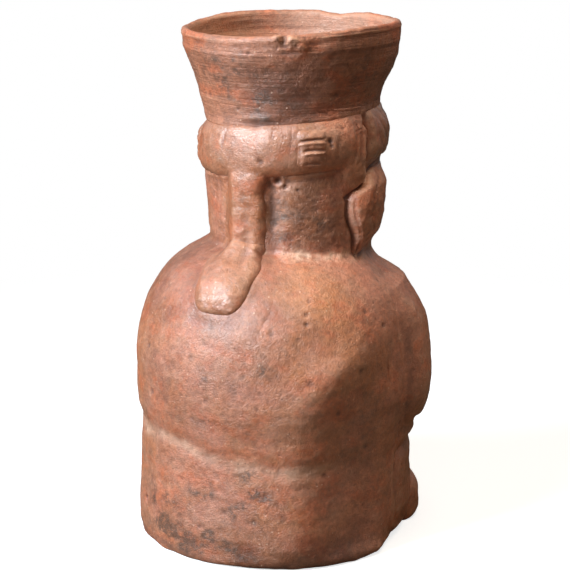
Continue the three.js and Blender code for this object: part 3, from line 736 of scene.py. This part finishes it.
# Fired clay in four tones: base, rosier, darker and the pale slip; smoke, wear, crease darkening, painted shade
# and painted light come from the meshes
def clay(name, tones, gloss=0.5, smoked=0.25, slip=0.0, streaks=0.0, shaded=1.0, shine=1.0, coat=0.45):
    material = bpy.data.materials.new(name)
    s = Shades(material)
    base, rosy, dark, pale = tones
    broad = s.ramp(s.noise(34, 3, 0.6, distortion=0.4), 0.40, 0.62)
    s.colour = s.mix(broad, linear(*base), linear(*rosy))
    s.tint(s.ramp(s.noise(11, 5, 0.62, shift=0.3), 0.50, 0.68), 0.42, dark)
    s.tint(s.layer("dusk"), smoked, (150, 96, 72))
    s.tint(s.layer("ochre"), 0.75, (194, 124, 66))
    s.tint(s.ramp(s.noise(23, 5, 0.62, stretch=(1, 1, 1.5), shift=6.1), 0.50, 0.62), 0.6, (192, 99, 56))
    s.tint(s.ramp(s.noise(13, 6, 0.7, stretch=(1, 1, 1.6), shift=7.3), 0.52, 0.66), 0.26, (146, 108, 84))
    if slip:
        s.tint(s.ramp(s.noise(13, 6, 0.68, shift=0.8, distortion=0.5), 0.42, 0.60), slip, pale)
    if streaks:
        s.tint(s.ramp(s.noise(5, 4, 0.7, stretch=(0.2, 0.2, 6)), 0.46, 0.66), streaks, dark)
    # Painted shade: the colour is multiplied darker by the mesh's shade layer
    s.tint(s.layer("painted_shade"), shaded, (180, 160, 142), "MULTIPLY")
    fine = s.ramp(s.noise(2.4, 6, 0.76, shift=0.5), 0.32, 0.70, 0.74, 1.2)
    grey = s.add("CombineColor", i0=fine, i1=fine, i2=fine)[0]
    s.colour = s.mix(1.0, s.colour, grey, "MULTIPLY")
    s.tint(s.times(s.layer("wear"), s.ramp(s.noise(4, 4, 0.6, shift=1.1), 0.35, 0.6)), 0.55, pale)
    s.tint(s.layer("pale"), 0.85, (222, 184, 158))
    mottle = s.ramp(s.noise(3.4, 6, 0.75, shift=1.7), 0.56, 0.72)
    s.tint(s.times(mottle, s.ramp(s.noise(23, 2, 0.5, shift=2.2), 0.46, 0.62)), 0.36, (98, 68, 52))
    sooty = s.times(s.layer("soot"), s.ramp(s.noise(3.0, 8, 0.85, shift=2.9), 0.38, 0.58))
    s.tint(s.math("MINIMUM", s.times(sooty, 1.5), 0.78), 1.0, (72, 54, 44))
    # Darker in the hollows and creases of the relief
    s.tint(s.layer("crease_darkening"), 0.62, (78, 46, 34))
    specks = s.times(s.cells(3.1, 0.07, 0.15), s.ramp(s.noise(6, 2, 0.5, shift=3.3), 0.50, 0.60))
    s.tint(specks, 0.6, (70, 48, 38))
    dots = s.times(s.cells(1.6, 0.10, 0.20), s.ramp(s.noise(9, 3, 0.6, shift=8.3), 0.48, 0.62))
    s.tint(dots, 0.5, (84, 56, 42))
    s.tint(s.cells(5.3, 0.05, 0.10), 0.5, (224, 190, 166))

    rough = s.ramp(s.noise(6, 4, 0.65, shift=4.1), 0.3, 0.7, gloss - 0.08, gloss + 0.12)
    for layer, much in (("pale", 0.3), ("crease_darkening", 0.2)):
        rough = s.math("ADD", rough, s.times(s.layer(layer), much))
    rough = s.math("MINIMUM", rough, 0.92)

    height = s.noise(0.9, 5, 0.7)
    grains = [(s.noise(3.2, 4, 0.6, shift=5.3), 0.9), (s.cells(2.3, 0.0, 0.16, 0.0, 1.0), 0.35)]
    if streaks:
        grains.append((s.noise(8, 4, 0.75, stretch=(0.2, 0.2, 7)), 1.1))
    for grain_height, much in grains:
        height = s.math("ADD", height, s.times(grain_height, much))
    skin = s.add(
        "BsdfPrincipled", Base_Color=s.colour, Roughness=rough, Normal=s.bump(0.65, height),
        Specular_IOR_Level=shine, Coat_Weight=coat * shine, Coat_Roughness=0.25, Coat_Normal=s.bump(0.35, height),
    )
    s.add("OutputMaterial", Surface=skin[0])
    return material


CLAYS = {
    "fired_clay": clay(
        "fired_clay", ((181, 113, 76), (186, 119, 93), (128, 77, 50), (210, 165, 140)), 0.44, 0.4, slip=0.18,
    ),
    "smoked_clay": clay(
        "smoked_clay", ((178, 116, 86), (168, 110, 84), (118, 74, 52), (202, 156, 128)), 0.52, 0.35,
        streaks=0.3, shine=0.75,
    ),
    "pale_slip_clay": clay(
        "pale_slip_clay", ((170, 104, 68), (174, 112, 82), (126, 76, 48), (206, 160, 132)), 0.36, 0.3,
        slip=0.16, shaded=0.25, coat=0.8,
    ),
}


def turntable(cols):
    return np.arange(cols)[None, :] * 360 / cols


# The hollow body, from under its edge up over the dome to the bore, and back down inside
def build_body():
    az = turntable(440)
    side = NECK_FORWARD * np.sin(az * RAD)
    reach = NECK_FORWARD * np.cos(az * RAD) + np.sqrt((NECK_R - HEAD_WALL) ** 2 - side ** 2)
    last = np.arccos((reach / BELLY_R) ** (DOME_FULL / 2))
    edge = BASE_ROUND - BASE_ROUND * np.cos(np.linspace(0, math.pi / 2, 6))[:-1]
    low_down = np.concatenate([edge, np.linspace(BASE_ROUND, BELLY_Z, 84)])[:, None] + 0 * az
    dome = BELLY_Z + DOME_RISE * np.sin(np.linspace(0, 1, 78)[1:, None] * last) ** (2 / DOME_FULL)
    z = np.concatenate([low_down, dome])
    base, normal = face_and_normal(BODY, az, z)
    flat = normal * [1, 1, 0]
    normal = np.where((z < BASE_ROUND)[..., None], flat / np.linalg.norm(flat, axis=-1, keepdims=True), normal)
    offset = wobble(base) + body_marks(az, z, base)
    offset += 0.35 * noise(base, 6, 71) * between(z, -3, 2, 2, 9)
    corners = [118, 140, 162, 175, 184, 193, 202, 219, 250, 262, 271, 286, 302]
    swelling = np.interp(az, corners, [0, 3.2, 3.6, 3.2, 2.2, 0.9, -0.3, 0.7, 2.2, 0.2, -1.6, -3.0, 0])
    round_off = BASE_ROUND - np.sqrt(BASE_ROUND ** 2 - np.clip(BASE_ROUND - z, 0, BASE_ROUND) ** 2)
    worn = np.where(swelling > 0, round_off / BASE_ROUND, 1 - smooth(0, 16, z))
    offset += (swelling + layered(base, (0.6, 9, 74), (0.3, 3.5, 75))) * worn
    fine = (grain(base) + pitted(base)) * smooth(-1, 2, z)
    outer = base + normal * (offset + fine)[..., None]

    throat = np.stack([outer[-1] - [0, 0, drop] for drop in (1.2, 3.0, 4.6)])
    z_in = BELLY_Z + DOME_RISE * np.sin(np.linspace(0.96, 0, 26)[:, None] * last) ** (2 / DOME_FULL)
    z_in = np.concatenate([z_in, np.linspace(BELLY_Z, BASE_ROUND, 30)[1:, None] + 0 * az])
    base_in, normal_in = face_and_normal(BODY, az, z_in)
    push = layered(base_in, (0.8, 24, 72), (0.5, (40, 40, 8), 73)) - WALL
    inner = base_in + normal_in * push[..., None]
    points = np.concatenate([outer, throat, inner, inner[-1:] * [1, 1, 0]])
    ring_piece(
        "body_wall", points, offset * 0.5 + fine, "fired_clay",
        "hip_back_wall", "hip_front_wall", "belly_back_wall", "belly_front_wall",
    )


# The floor inside the wall, laid out as a square grid drawn into a disc
def build_base():
    side = np.linspace(-1, 1, 71)
    u, v = np.meshgrid(side, side, indexing="ij")
    x, y = u * np.sqrt(1 - v * v / 2), v * np.sqrt(1 - u * u / 2)
    turn = np.degrees(np.arctan2(x, -y)) % 360
    radius = (BODY[1](turn, 10.0) - WALL + 0.9) * np.hypot(x, y)
    top = polar(radius, turn, 0 * x)
    bottom = top.copy()
    worn = layered(top, (0.35, 18, 83), (0.22, 4, 84)) + 0.3
    bottom[..., 2] = np.clip(worn, 0, 0.7)
    top[..., 2] += BASE_THICK + layered(top, (0.5, 26, 81), (0.3, 7, 82))
    sheet_piece("base_slab", bottom, top, worn, "smoked_clay")


# The head's wall, spreading onto the shoulder in a rough luted joint
def build_neck():
    az = turntable(346)
    circles = (49.5, 48.2, 47, 46, 45.2, 44.4, 43.8, 43.2, 42.7, 42.2, 41.8, 41.5)
    top = NECK_TOP + 0.3
    up = lerp(join_height(az), top, np.linspace(0, 1, 84)[:, None])
    z = np.concatenate([join_height(az, reach) for reach in circles] + [up])
    base, normal = face_and_normal(JOINT, az, z)
    offset = neck_marks(az, z, base) + grain(base) + pitted(base)
    dive = np.zeros(z.shape)
    dive[:3] = [[-1.6], [-0.8], [-0.25]]
    outer = base + normal * (wobble(base) + offset + dive)[..., None]

    z_in = lerp(join_height(az) - 2.5, top, np.linspace(1, 0, 60)[:, None])
    inner = on_face(HEAD, az, z_in)
    out = (inner - NECK_AXIS) * [1, 1, 0] / NECK_R
    push = layered(inner, (0.25, (30, 30, 4), 91), (0.4, 19, 92)) - HEAD_WALL
    inner += out * lerp(push, -HEAD_WALL, smooth(NECK_TOP - 3, NECK_TOP + 3, z_in))[..., None]
    points = np.concatenate([outer, inner])
    ring_piece("neck_wall", points, offset, "fired_clay", "neck_back_wall", "neck_front_wall")


# The flaring collar with its uneven, chipped lip
def build_collar():
    az = turntable(420)
    low, high = NECK_TOP - 0.4, RIM_Z - LIP / 2
    z = np.linspace(low, high, 84)[:, None]
    lifted = lip_lift(az, z)
    base, normal = face_and_normal(HEAD, az, z)
    offset = collar_marks(az, z + lifted, base + [0, 0, 1] * lifted[..., None])
    offset += grain(base) + pitted(base)
    outer = base + normal * (wobble(base) + offset)[..., None]
    outer[..., 2] += lifted

    over = np.linspace(0, math.pi, 15)[1:-1, None]
    z_down = np.linspace(high, low, 62)[:, None]
    thick = lerp(HEAD_WALL, LIP, np.clip((z_down - NECK_TOP) / (RIM_Z - LIP_UPRIGHT - NECK_TOP), 0, 1))
    reach = np.concatenate([RIM_R - LIP / 2 + LIP / 2 * np.cos(over), head_radius(z_down) - thick])
    z_in = np.concatenate([high + LIP / 2 * np.sin(over), z_down])
    ring = polar(reach, az, z_in, -NECK_FORWARD)
    lines = layered(ring, (0.2, (30, 30, 1.6), 95), (0.3, (34, 34, 6), 96))
    crown = np.concatenate([np.sin(over), 0 * z_down])
    push = wobble(ring) + lines * smooth(NECK_TOP, NECK_TOP + 4, z_in) + grain(ring) + 0.45 * crown
    inner = ring + polar(push, az, 0)
    inner[..., 2] += lip_lift(az, z_in) + 0.25 * noise(ring, 5, 97) * (crown > 0)
    points, crust = chip_rim(np.concatenate([outer, inner]))
    offset = np.concatenate([offset, lines + grain(ring)]) + crust
    ring_piece("rim_collar", points, offset, "smoked_clay", "rim_collar")


# A broken place and two crumbs of clay on the near side of the lip, and nicks along it
def chip_rim(points):
    turn, z = neck_turn(points), points[..., 2] - rim_rise(neck_turn(points))
    out = (points - NECK_AXIS) * [1, 1, 0]
    out /= np.linalg.norm(out, axis=-1, keepdims=True)
    crust = spots(
        turn, z, LIP_SPAN,
        (210.5, 249.6, 2.6, 2.4, 1.9), (218, 247.0, 3.6, 3.2, 2.4), (223.5, 244.6, 2.4, 2.8, 1.3),
        (214.2, 248.6, 1.5, 3.4, -1.8), (215.5, 242.0, 4.6, 1.1, -0.7), (160, 246.0, 3.5, 1.6, -0.6),
        (139, 247.5, 2.0, 1.6, 0.7), (176, 249.5, 6.0, 1.4, -0.5), (236, 249.8, 5.0, 1.3, -0.35),
        (254, 250.0, 3.0, 1.2, -0.4),
    )
    crust += spots(turn, z, LIP_SPAN, (217, 247, 8, 4.5, 1)) * layered(points, (0.4, 1.7, 98), (0.25, 0.9, 99))
    lump = np.maximum(crust, 0) * bell(z - 249, 3.5)
    moved = points + out * (crust * (neck_reach(points) > RIM_R - 3.4))[..., None]
    moved[..., 2] += 0.35 * lump + np.minimum(crust, 0) * 0.5 * (z > 246)
    return moved, crust


# Headband in two lengths that sink beside the ears
def band_height(az, z):
    from_back = np.abs(turn_from(az, 180))
    end = np.maximum(0.999 * smooth(0, 1, (88 - from_back) / 12) ** 2, smooth(0, 1, (from_back - 90.5) / 6))
    full = BAND_BULGE * (1 + 0.05 * np.sin(az * RAD * 3))
    return (full + SINK) * bulge((z - band_centre(az)) / BAND_HALF, 2.3) * np.sqrt(end) - SINK


def band_relief(az, z):
    p = on_face(HEAD, az, z)
    smears = layered(p, (0.22, (7, 7, 26), 101), (0.5, 11, 102), (0.16, 3.5, 103))
    a = np.where(az > 180, az, 360 - az)
    steps = arc(a, 300, NECK_R)
    scallops = 0.55 * np.abs(np.sin(steps * math.pi / 7.0 + (z - 200) * 0.35)) - 0.35
    lean = 0.12 * (z - 196)
    creases = [(206, 0.3), (217, 0.3), (190, 0.15), (246, 0.2), (171.5, -0.45), (173.6, 0.35)]
    folds = spots(az, z, COLLAR_SPAN, *((at + lean, 197, 1.0, 8, deep) for at, deep in creases))
    nicks = spots(az, z, NECK_R, (195, 207.5, 1.8, 2.2, 0.9), (200, 190.5, 1.5, 1.8, 0.9))
    return smears + smooth(276, 288, a) * scallops - folds * (0.7 + 0.8 * noise(p, 6, 104)) - nicks


def build_band(name, start, end):
    def spine(s):
        az = lerp(start, end, s)
        return az, band_centre(az)

    _, _, az, z = strip_grid(HEAD, spine, lambda s: BAND_HALF, 190, 50)
    height = band_height(az, z)
    height += band_relief(az, z) * smooth(-0.5, 1.0, height)
    lay(name, HEAD, az, z, height, slot="pale_slip_clay")


# The cloth tail, over the band, down the neck and out on the shoulder
def build_tail():
    inside = NECK_R - NECK_FORWARD
    s, u = unit_grid(210, 70)
    along = np.clip((s - 0.6) / 0.4, 0, 1.03)
    upper = lerp(band_centre(TAIL_AZ) + 2, dome_height(inside), np.minimum(s / 0.6, 1))
    z = upper + dome_height(lerp(inside, TAIL_REACH, along)) - dome_height(inside)
    middle = tail_centre(s)
    az = middle + u * tail_half(s) / BACK[1](middle, z) / RAD

    # Across it: a soft fall on one side below the band, steep edges on the shoulder
    crest = np.interp(s, [0, 0.3, 0.5, 0.65, 0.8, 1], [0.15, 0.1, -0.05, -0.25, -0.1, 0])
    roof = 1 - lerp(0.2, 0.4, smooth(0.15, 0.4, s)) * np.abs(u - crest) ** 1.25
    sharp = bulge(u, 5)
    soft = np.where(u < 0, (1 - smooth(0.05, 1.0, -u)) ** 1.5, sharp)
    shape = smooth(0.5, 0.8, s)
    profile = lerp(soft, sharp, shape)
    sink = np.where(u < 0, lerp(0.05, SINK, shape), SINK)
    ends = bulge(np.clip(2 * s - 1, 0, 1), 22)

    below = band_centre(az) - z
    blend = 0.05 + 1.4 * (1 - smooth(BAND_HALF - 3, BAND_HALF + 9, below))
    full = lerp(4.6, 5.2 + blend, smooth(0.03, 0.2, s))
    full += 0.9 * bell(s - 0.9, 0.07) - 0.6 * bell(s - 0.73, 0.07)
    valley = 0.8 * bell(u + 0.52, 0.13) * bell(s - 0.68, 0.09)
    valley += 0.45 * bell(u - 0.42, 0.16) * between(s, 0.2, 0.4, 0.78, 0.9)
    crack = 0.5 * bell(s - 0.975, 0.008) * np.abs(np.sin(7 * u))
    knob = 0.9 * bell(u - 0.75, 0.22) * bell(s - 0.62, 0.05) - 0.8 * bell(u - 0.95, 0.2) * bell(s - 0.69, 0.03)
    lift = BACK[1](az, z) - np.maximum(head_radius(z), shoulder_reach(az, z))
    free = (full * roof - valley - crack + knob + sink) * profile * ends - sink - lift * (1 - profile)

    # It rises out of the band without a crease, and hides under the band's crown
    over = band_height(az, z) + band_relief(az, z)
    gain = free - over
    risen = np.where(gain < 0, 0.6 * gain, np.where(gain < 2 * blend, gain ** 2 / (4 * blend), gain - blend))
    hidden = 1 - smooth(-2, 4, below)
    smears = layered(on_face(BACK, az, z), (0.3, (5, 5, 24), 111), (0.45, 8, 112), (0.15, 3, 113))
    height = over + risen * (1 - hidden) - 1.4 * hidden + smears * profile * smooth(0.1, 0.3, s)
    lay("headcloth_tail", BACK, az, z, height, 2.2 + lift, slot="pale_slip_clay")


# Bound clasps, ears and side locks on both sides of the head
def build_clasp(name, side):
    def spine(s):
        az = 359 - CLASP_AZ if side < 0 else CLASP_AZ + 1
        return az, band_centre(az) + CLASP_HIGH * (0.5 - s)

    s, u, az, z = strip_grid(HEAD, spine, lambda s: CLASP_HALF + 0.8, 84, 56)
    right = u * side
    block = bulge(u, 4) * bulge(2 * s - 1, 7)
    p = on_face(HEAD, az, z)
    uneven = 0.25 * noise(p, 6, 122)
    cuts = 0.4 * bell(right + 0.66, 0.09) * between(s, 0.3, 0.5, 0.85, 1)
    rows = (0.27, 0.85, -0.85, 0.95), (0.51, 0.85, -0.55, 0.85), (0.83, 0.55, -0.5, 0.65)
    for at, deep, first, last in rows:
        place = s - at - 0.06 * (right - 0.2) ** 2 - 0.03 * uneven
        cut = deep * bell(place, 0.038) - 0.3 * bell(place - 0.075, 0.035)
        cuts += cut * between(right, first, first + 0.3, last - 0.3, last)
    plate = band_height(az, z) + 1.3 + 0.3 * bell(right + 0.86, 0.16)
    height = (plate + uneven + 0.15 * noise(p, 2.2, 123) - cuts) * block - SINK * (1 - block)
    lay(name, HEAD, az, z, height, slot="pale_slip_clay")


def side_grid(low_az, high_az, low_z, high_z, step, side):
    az = np.linspace(low_az, high_az, int((high_az - low_az) * RAD * 45 / step))[:, None]
    z = np.linspace(low_z, high_z, int((high_z - low_z) / step))[None, :]
    az, z = az + 0 * z, z + 0 * az
    return (az if side > 0 else 360 - az[::-1]), z


def build_ear(name, side):
    az, z = side_grid(239, 275, 169, 214, 0.4, side)
    p = on_face(HEAD, az, z)
    height = ear_height(az, z, side)
    a = mirrored(az, side) - 0.12 * (z - 196)
    folds = 0
    for at, deep in ((258.2, 0.25), (260.2, -0.3), (262.6, 0.25), (265.2, -0.4), (268.0, 0.5), (272, 0.2)):
        folds += deep * bell(arc(a, at, NECK_R), 0.75)
    rough = layered(p, (0.45, 8, 131), (0.2, 2.6, 132)) - folds * between(z, 186, 190, 199, 204)
    for cut in (
        [(256.5, 205.5), (258.5, 201)], [(260.5, 206), (262, 201.5)], [(266, 205.5), (263, 201.8)],
        [(257, 203), (265, 204)],
    ):
        rough -= 0.3 * groove(p, 0.45, HEAD, *((mirrored(at, side), up) for at, up in cut))
    height += rough * smooth(0, 2, height)
    lay(name, HEAD, az, z, height, THIN)


def build_lock(name, side):
    az, z = side_grid(254, 312, 139.5, 183, 0.42, side)
    gap, height, from_left = lock_field(az, z, side)
    strand = 0.55 * bell(from_left - 1.7, 0.5) * between(z, 150, 155, 168, 173)
    strand += 0.35 * bell(from_left - 11, 1.4) * smooth(150, 156, z)
    strand += 0.35 * bell(z - 151.5 - 0.15 * from_left, 0.8) * (1 - smooth(7, 12, from_left))
    slit = spots(mirrored(az, side), z, NECK_R, (267, 145, 0.7, 2.8, 1.6))
    rough = layered(on_face(HEAD, az, z), (0.35, 6, 141), (0.18, 2.2, 142), (0.25, (4, 4, 14), 143))
    height += (rough - strand - slit) * smooth(0, 1.5, -gap)
    lay(name, HEAD, az, z, height, THIN)


# The face: lidded almond eyes, a wedge nose with nostril wings, closed lips
def half_wave(s):
    return np.sin(math.pi * np.clip(s, 0, 1))


def build_eye(name, side):
    s, u, az, z = strip_grid(
        HEAD, lambda s: (EYE_HALF / NECK_R / RAD * (2 * s - 1) - side * EYE_AZ, EYE_Z + 0.9 * half_wave(s)),
        lambda s: np.maximum(4.5 * half_wave(s) ** 0.8, 0.3), 60, 40,
    )
    lids = 1.7 * bell(np.abs(u) - 0.7, 0.2)
    ball = 1.35 * bulge(u / 0.62, 2)
    slit = 0.35 * bell(u + 0.1, 0.1)
    width = half_wave(s) ** 0.6
    height = (np.maximum(lids, ball) - slit) * width + 1.0
    height = 0.2 + height * np.clip((1 - np.abs(u)) / 0.18, 0, 1) - 1.0 - 1.2 * (1 - width)
    lay(name, HEAD, az, z, height)


def build_nose():
    s, u, az, z = strip_grid(
        HEAD, lambda s: (0, NOSE_TOP - NOSE_LONG * s), lambda s: 7.5 * lerp(0.42, 1, s ** 1.5), 60, 40,
    )
    bridge = lerp(2.0, 8.0, np.sin(math.pi / 1.7 * s ** 0.85))
    top = bridge * bulge(u, lerp(1.5, 2.6, s)) ** 1.6
    wings = 2.6 * bell(np.abs(u) - 0.66, 0.22) * bell(s - 0.86, 0.1)
    height = np.maximum(top, wings) * smooth(0, 0.18, s) + 0.9
    height = height * bulge(u, 6) * bulge(np.clip(2 * s - 1, 0, 1), 12) - 0.9
    lay("nose", HEAD, az, z, height)


def build_mouth():
    s, u, az, z = strip_grid(
        HEAD, lambda s: (MOUTH_HALF / NECK_R / RAD * (2 * s - 1), MOUTH_Z + 0.5 * np.cos(2 * math.pi * s)),
        lambda s: np.maximum(4 * half_wave(s) ** 0.75, 0.3), 70, 36,
    )
    along = half_wave(s) ** 0.5
    bow = 0.5 * bell(s - 0.5, 0.06) * np.clip(u, 0, 1)
    height = 2.6 * bulge(2 * np.abs(u) - 1, 2) * along - bow + 0.8
    height = height * bulge(u, 6) - 0.8 - 0.9 * (1 - along)
    lay("mouth", HEAD, az, z, height)


# Arms and legs as low mounds whose edges run into the wall
def build_arm(name, side):
    az, z = side_grid(268, 345, 48, 134, 0.72, side)
    upper, fore = arm_gap(az, z, side)
    edge = np.interp(z, [60, 90, 115], [13, 17, 19])
    mound = 4.8 * bulge(np.clip(1 + fore / 9, 0, 1), 2.3) - 1.4 * np.clip(fore / 1.6, 0, 1)
    height = smooth_max(swell(upper, 5.2, edge), mound, 2.0)
    a = mirrored(az, side)
    fold = bell(arc(a, 315 - 0.1 * (z - 60), ARM_R), 1.4) * between(z, 66, 76, 88, 98)
    cuff = bell(arc(a, 328, ARM_R), 0.9)
    height += 0.35 * noise(on_face(BODY, az, z), 12, 151) * smooth(0, 7, -np.minimum(upper, fore))
    height -= 0.55 * fold * (upper < 0) + 0.5 * cuff * (fore < -1)
    lay(name, BODY, az, z, height, THIN)


def build_hand(name, side):
    def spine(s):
        t = lerp(WRIST, 1.0, s)
        return mirrored(lerp(ELBOW_AZ, FINGER_AZ, t), side), lerp(ELBOW_Z, FINGER_Z, t)

    s, u, az, z = strip_grid(BODY, spine, lambda s: ARM_HALF * np.sqrt(1 - 0.7 * s ** 8), 70, 56)
    flip = u * side
    fingers = 1.3 * sum(bell(flip - at, 0.075) for at in (-0.5, 0.0, 0.48)) * smooth(0.36, 0.5, s)
    thumb = bell(flip - 0.75, 0.2) * bell(s - 0.35, 0.16)
    height = (4.4 + thumb - fingers + SINK) * bulge(u, 3.5) * bulge(2 * s - 1, 8) - SINK
    lay(name, BODY, az, z, height)


def build_leg(name, side):
    az, z = side_grid(270, 342, 2.5, 53, 0.7, side)
    gap = leg_gap(az, z, side)
    a = mirrored(az, side)
    height = swell(gap, lerp(2.4, 5.6, smooth(276, 338, a) ** 2), 12)
    height += 1.1 * bell(arc(a, 273.5 + (z - 14) * 0.146, LEG_R), 1.5) * between(z, 4, 12, 48, 56)
    height += 0.3 * noise(on_face(BODY, az, z), 10, 161) * smooth(0, 6, -gap)
    lay(name, BODY, az, z, height, THIN)


def build_foot(name, side):
    s, u, az, z = strip_grid(
        FOOT, lambda s: (mirrored(FOOT_AZ + FOOT_REACH * (2 * s - 1), side), FOOT_Z),
        lambda s: FOOT_Z, 80, 50, even=False,
    )
    shape = bulge(2 * s - 1, 3.4)
    across = bulge(u, np.where(z < FOOT_Z, 5, 2.4))
    height = (8.2 + SINK) * shape * lerp(0.35, 1, across) * np.where(z < FOOT_Z, 1, across) - SINK
    toes = 0.9 * sum(bell(z - 2 * FOOT_Z * at, 0.8) for at in (0.15, 0.32, 0.5, 0.68))
    height += 0.3 * noise(on_face(FOOT, az, z), 6, 171) * shape - toes * smooth(0.72, 0.84, s)
    top, bottom, offset = patch_part(FOOT, az, z, height, 2.2)
    for sheet in (top, bottom):
        sheet[..., 2] = np.maximum(sheet[..., 2], 0)
    sheet_piece(name, top, bottom, offset, "fired_clay")


build_body()
build_base()
build_neck()
build_collar()
build_band("headband_back", 93, 267)
build_band("headband_front", 271, 449)
build_tail()
build_nose()
build_mouth()
for word, side in (("right", 1), ("left", -1)):
    for limb, build in (
        ("clasp", build_clasp), ("ear", build_ear), ("side_lock", build_lock), ("eye", build_eye),
        ("arm", build_arm), ("hand", build_hand), ("leg", build_leg), ("foot", build_foot),
    ):
        build(f"{word}_{limb}", side)


# Camera behind the figure's right shoulder, with distances in metres
VIEW_AZ, VIEW_PITCH = 218 * RAD, 15.4 * RAD
VIEW_BACK, VIEW_RIGHT, VIEW_UP = 0.8175, 0.0035, 0.347
camera = new_object("camera", bpy.data.cameras.new("camera"))
camera.data.lens, camera.data.sensor_width = 108.9, 36
camera.data.sensor_fit = "HORIZONTAL"
camera.data.clip_start, camera.data.clip_end = 0.05, 40
back = Vector((math.sin(VIEW_AZ), -math.cos(VIEW_AZ), 0))
right = Vector((math.cos(VIEW_AZ), math.sin(VIEW_AZ), 0))
sight = -back * math.cos(VIEW_PITCH) - Vector((0, 0, math.sin(VIEW_PITCH)))
turned = Matrix((right, right.cross(sight), -sight)).transposed().to_4x4()
stand = back * VIEW_BACK + right * VIEW_RIGHT + Vector((0, 0, VIEW_UP))
camera.matrix_world = Matrix.Translation(stand) @ turned
bpy.context.scene.camera = camera


# Soft studio light from one side, a weak fill and a pale floor
def softbox(name, az, distance, height, size, watts, colour):
    lamp = bpy.data.lights.new(name, "AREA")
    lamp.shape = "RECTANGLE"
    lamp.size, lamp.size_y = size
    lamp.energy, lamp.color = watts, colour
    box = new_object(name, lamp)
    box.location = polar(distance, az, height)
    box.rotation_euler = (box.location - AIM).to_track_quat("Z", "Y").to_euler()


AIM = Vector((0, 0, 0.13))
COOL, WARM = (0.93, 1.0, 1.07), (1.0, 0.78, 0.55)
softbox("key_softbox", 159, 0.88, 0.76, (0.38, 0.56), 23.4, COOL)
softbox("top_softbox", 266, 0.27, 1.08, (0.5, 0.5), 6.8, WARM)
softbox("fill_softbox", 295, 1.3, 0.45, (0.9, 0.9), 0.4, WARM)

world = bpy.data.worlds.new("studio")
bpy.context.scene.world = world
sky = Shades(world)
rays = sky.add("LightPath")
seen = sky.math("MAXIMUM", rays["Is Camera Ray"], sky.times(rays["Is Glossy Ray"], 0.3))
dim, white = sky.glow("Background", (1, 0.78, 0.56), 0.035), sky.glow("Background", (1, 1, 1), 1.0)
sky.add("OutputWorld", Surface=sky.blend(seen, dim, white))

# The floor is lit paper near the jar and plain white farther out, and reflects as a warm brown
FLOOR_HALF = 9
floor_mesh = bpy.data.meshes.new("floor")
corners = [(FLOOR_HALF * x, FLOOR_HALF * y, 0) for x, y in ((-1, -1), (1, -1), (1, 1), (-1, 1))]
floor_mesh.from_pydata(corners, [], [(0, 1, 2, 3)])
floor = new_object("floor", floor_mesh)
floor.location.z = -0.0002
paper = bpy.data.materials.new("floor_paper")
s = Shades(paper)
distance = s.add("VectorMath", {"operation": "LENGTH"}, i0=s.add("NewGeometry")["Position"])["Value"]
lit, glow = s.glow("BsdfDiffuse", (0.5, 0.55, 0.62)), s.glow("Emission", (1, 1, 1), 0.76)
near = s.add("AddShader", i0=lit, i1=glow)[0]
shown = s.blend(s.ramp(distance, 0.14, 0.5), near, s.glow("Emission", (1, 1, 1), 1.0))
unseen = s.glow("BsdfDiffuse", (0.15, 0.112, 0.08))
s.add("OutputMaterial", Surface=s.blend(s.add("LightPath")["Is Camera Ray"], unseen, shown))
floor_mesh.materials.append(paper)

bpy.context.scene.view_settings.view_transform = "Standard"
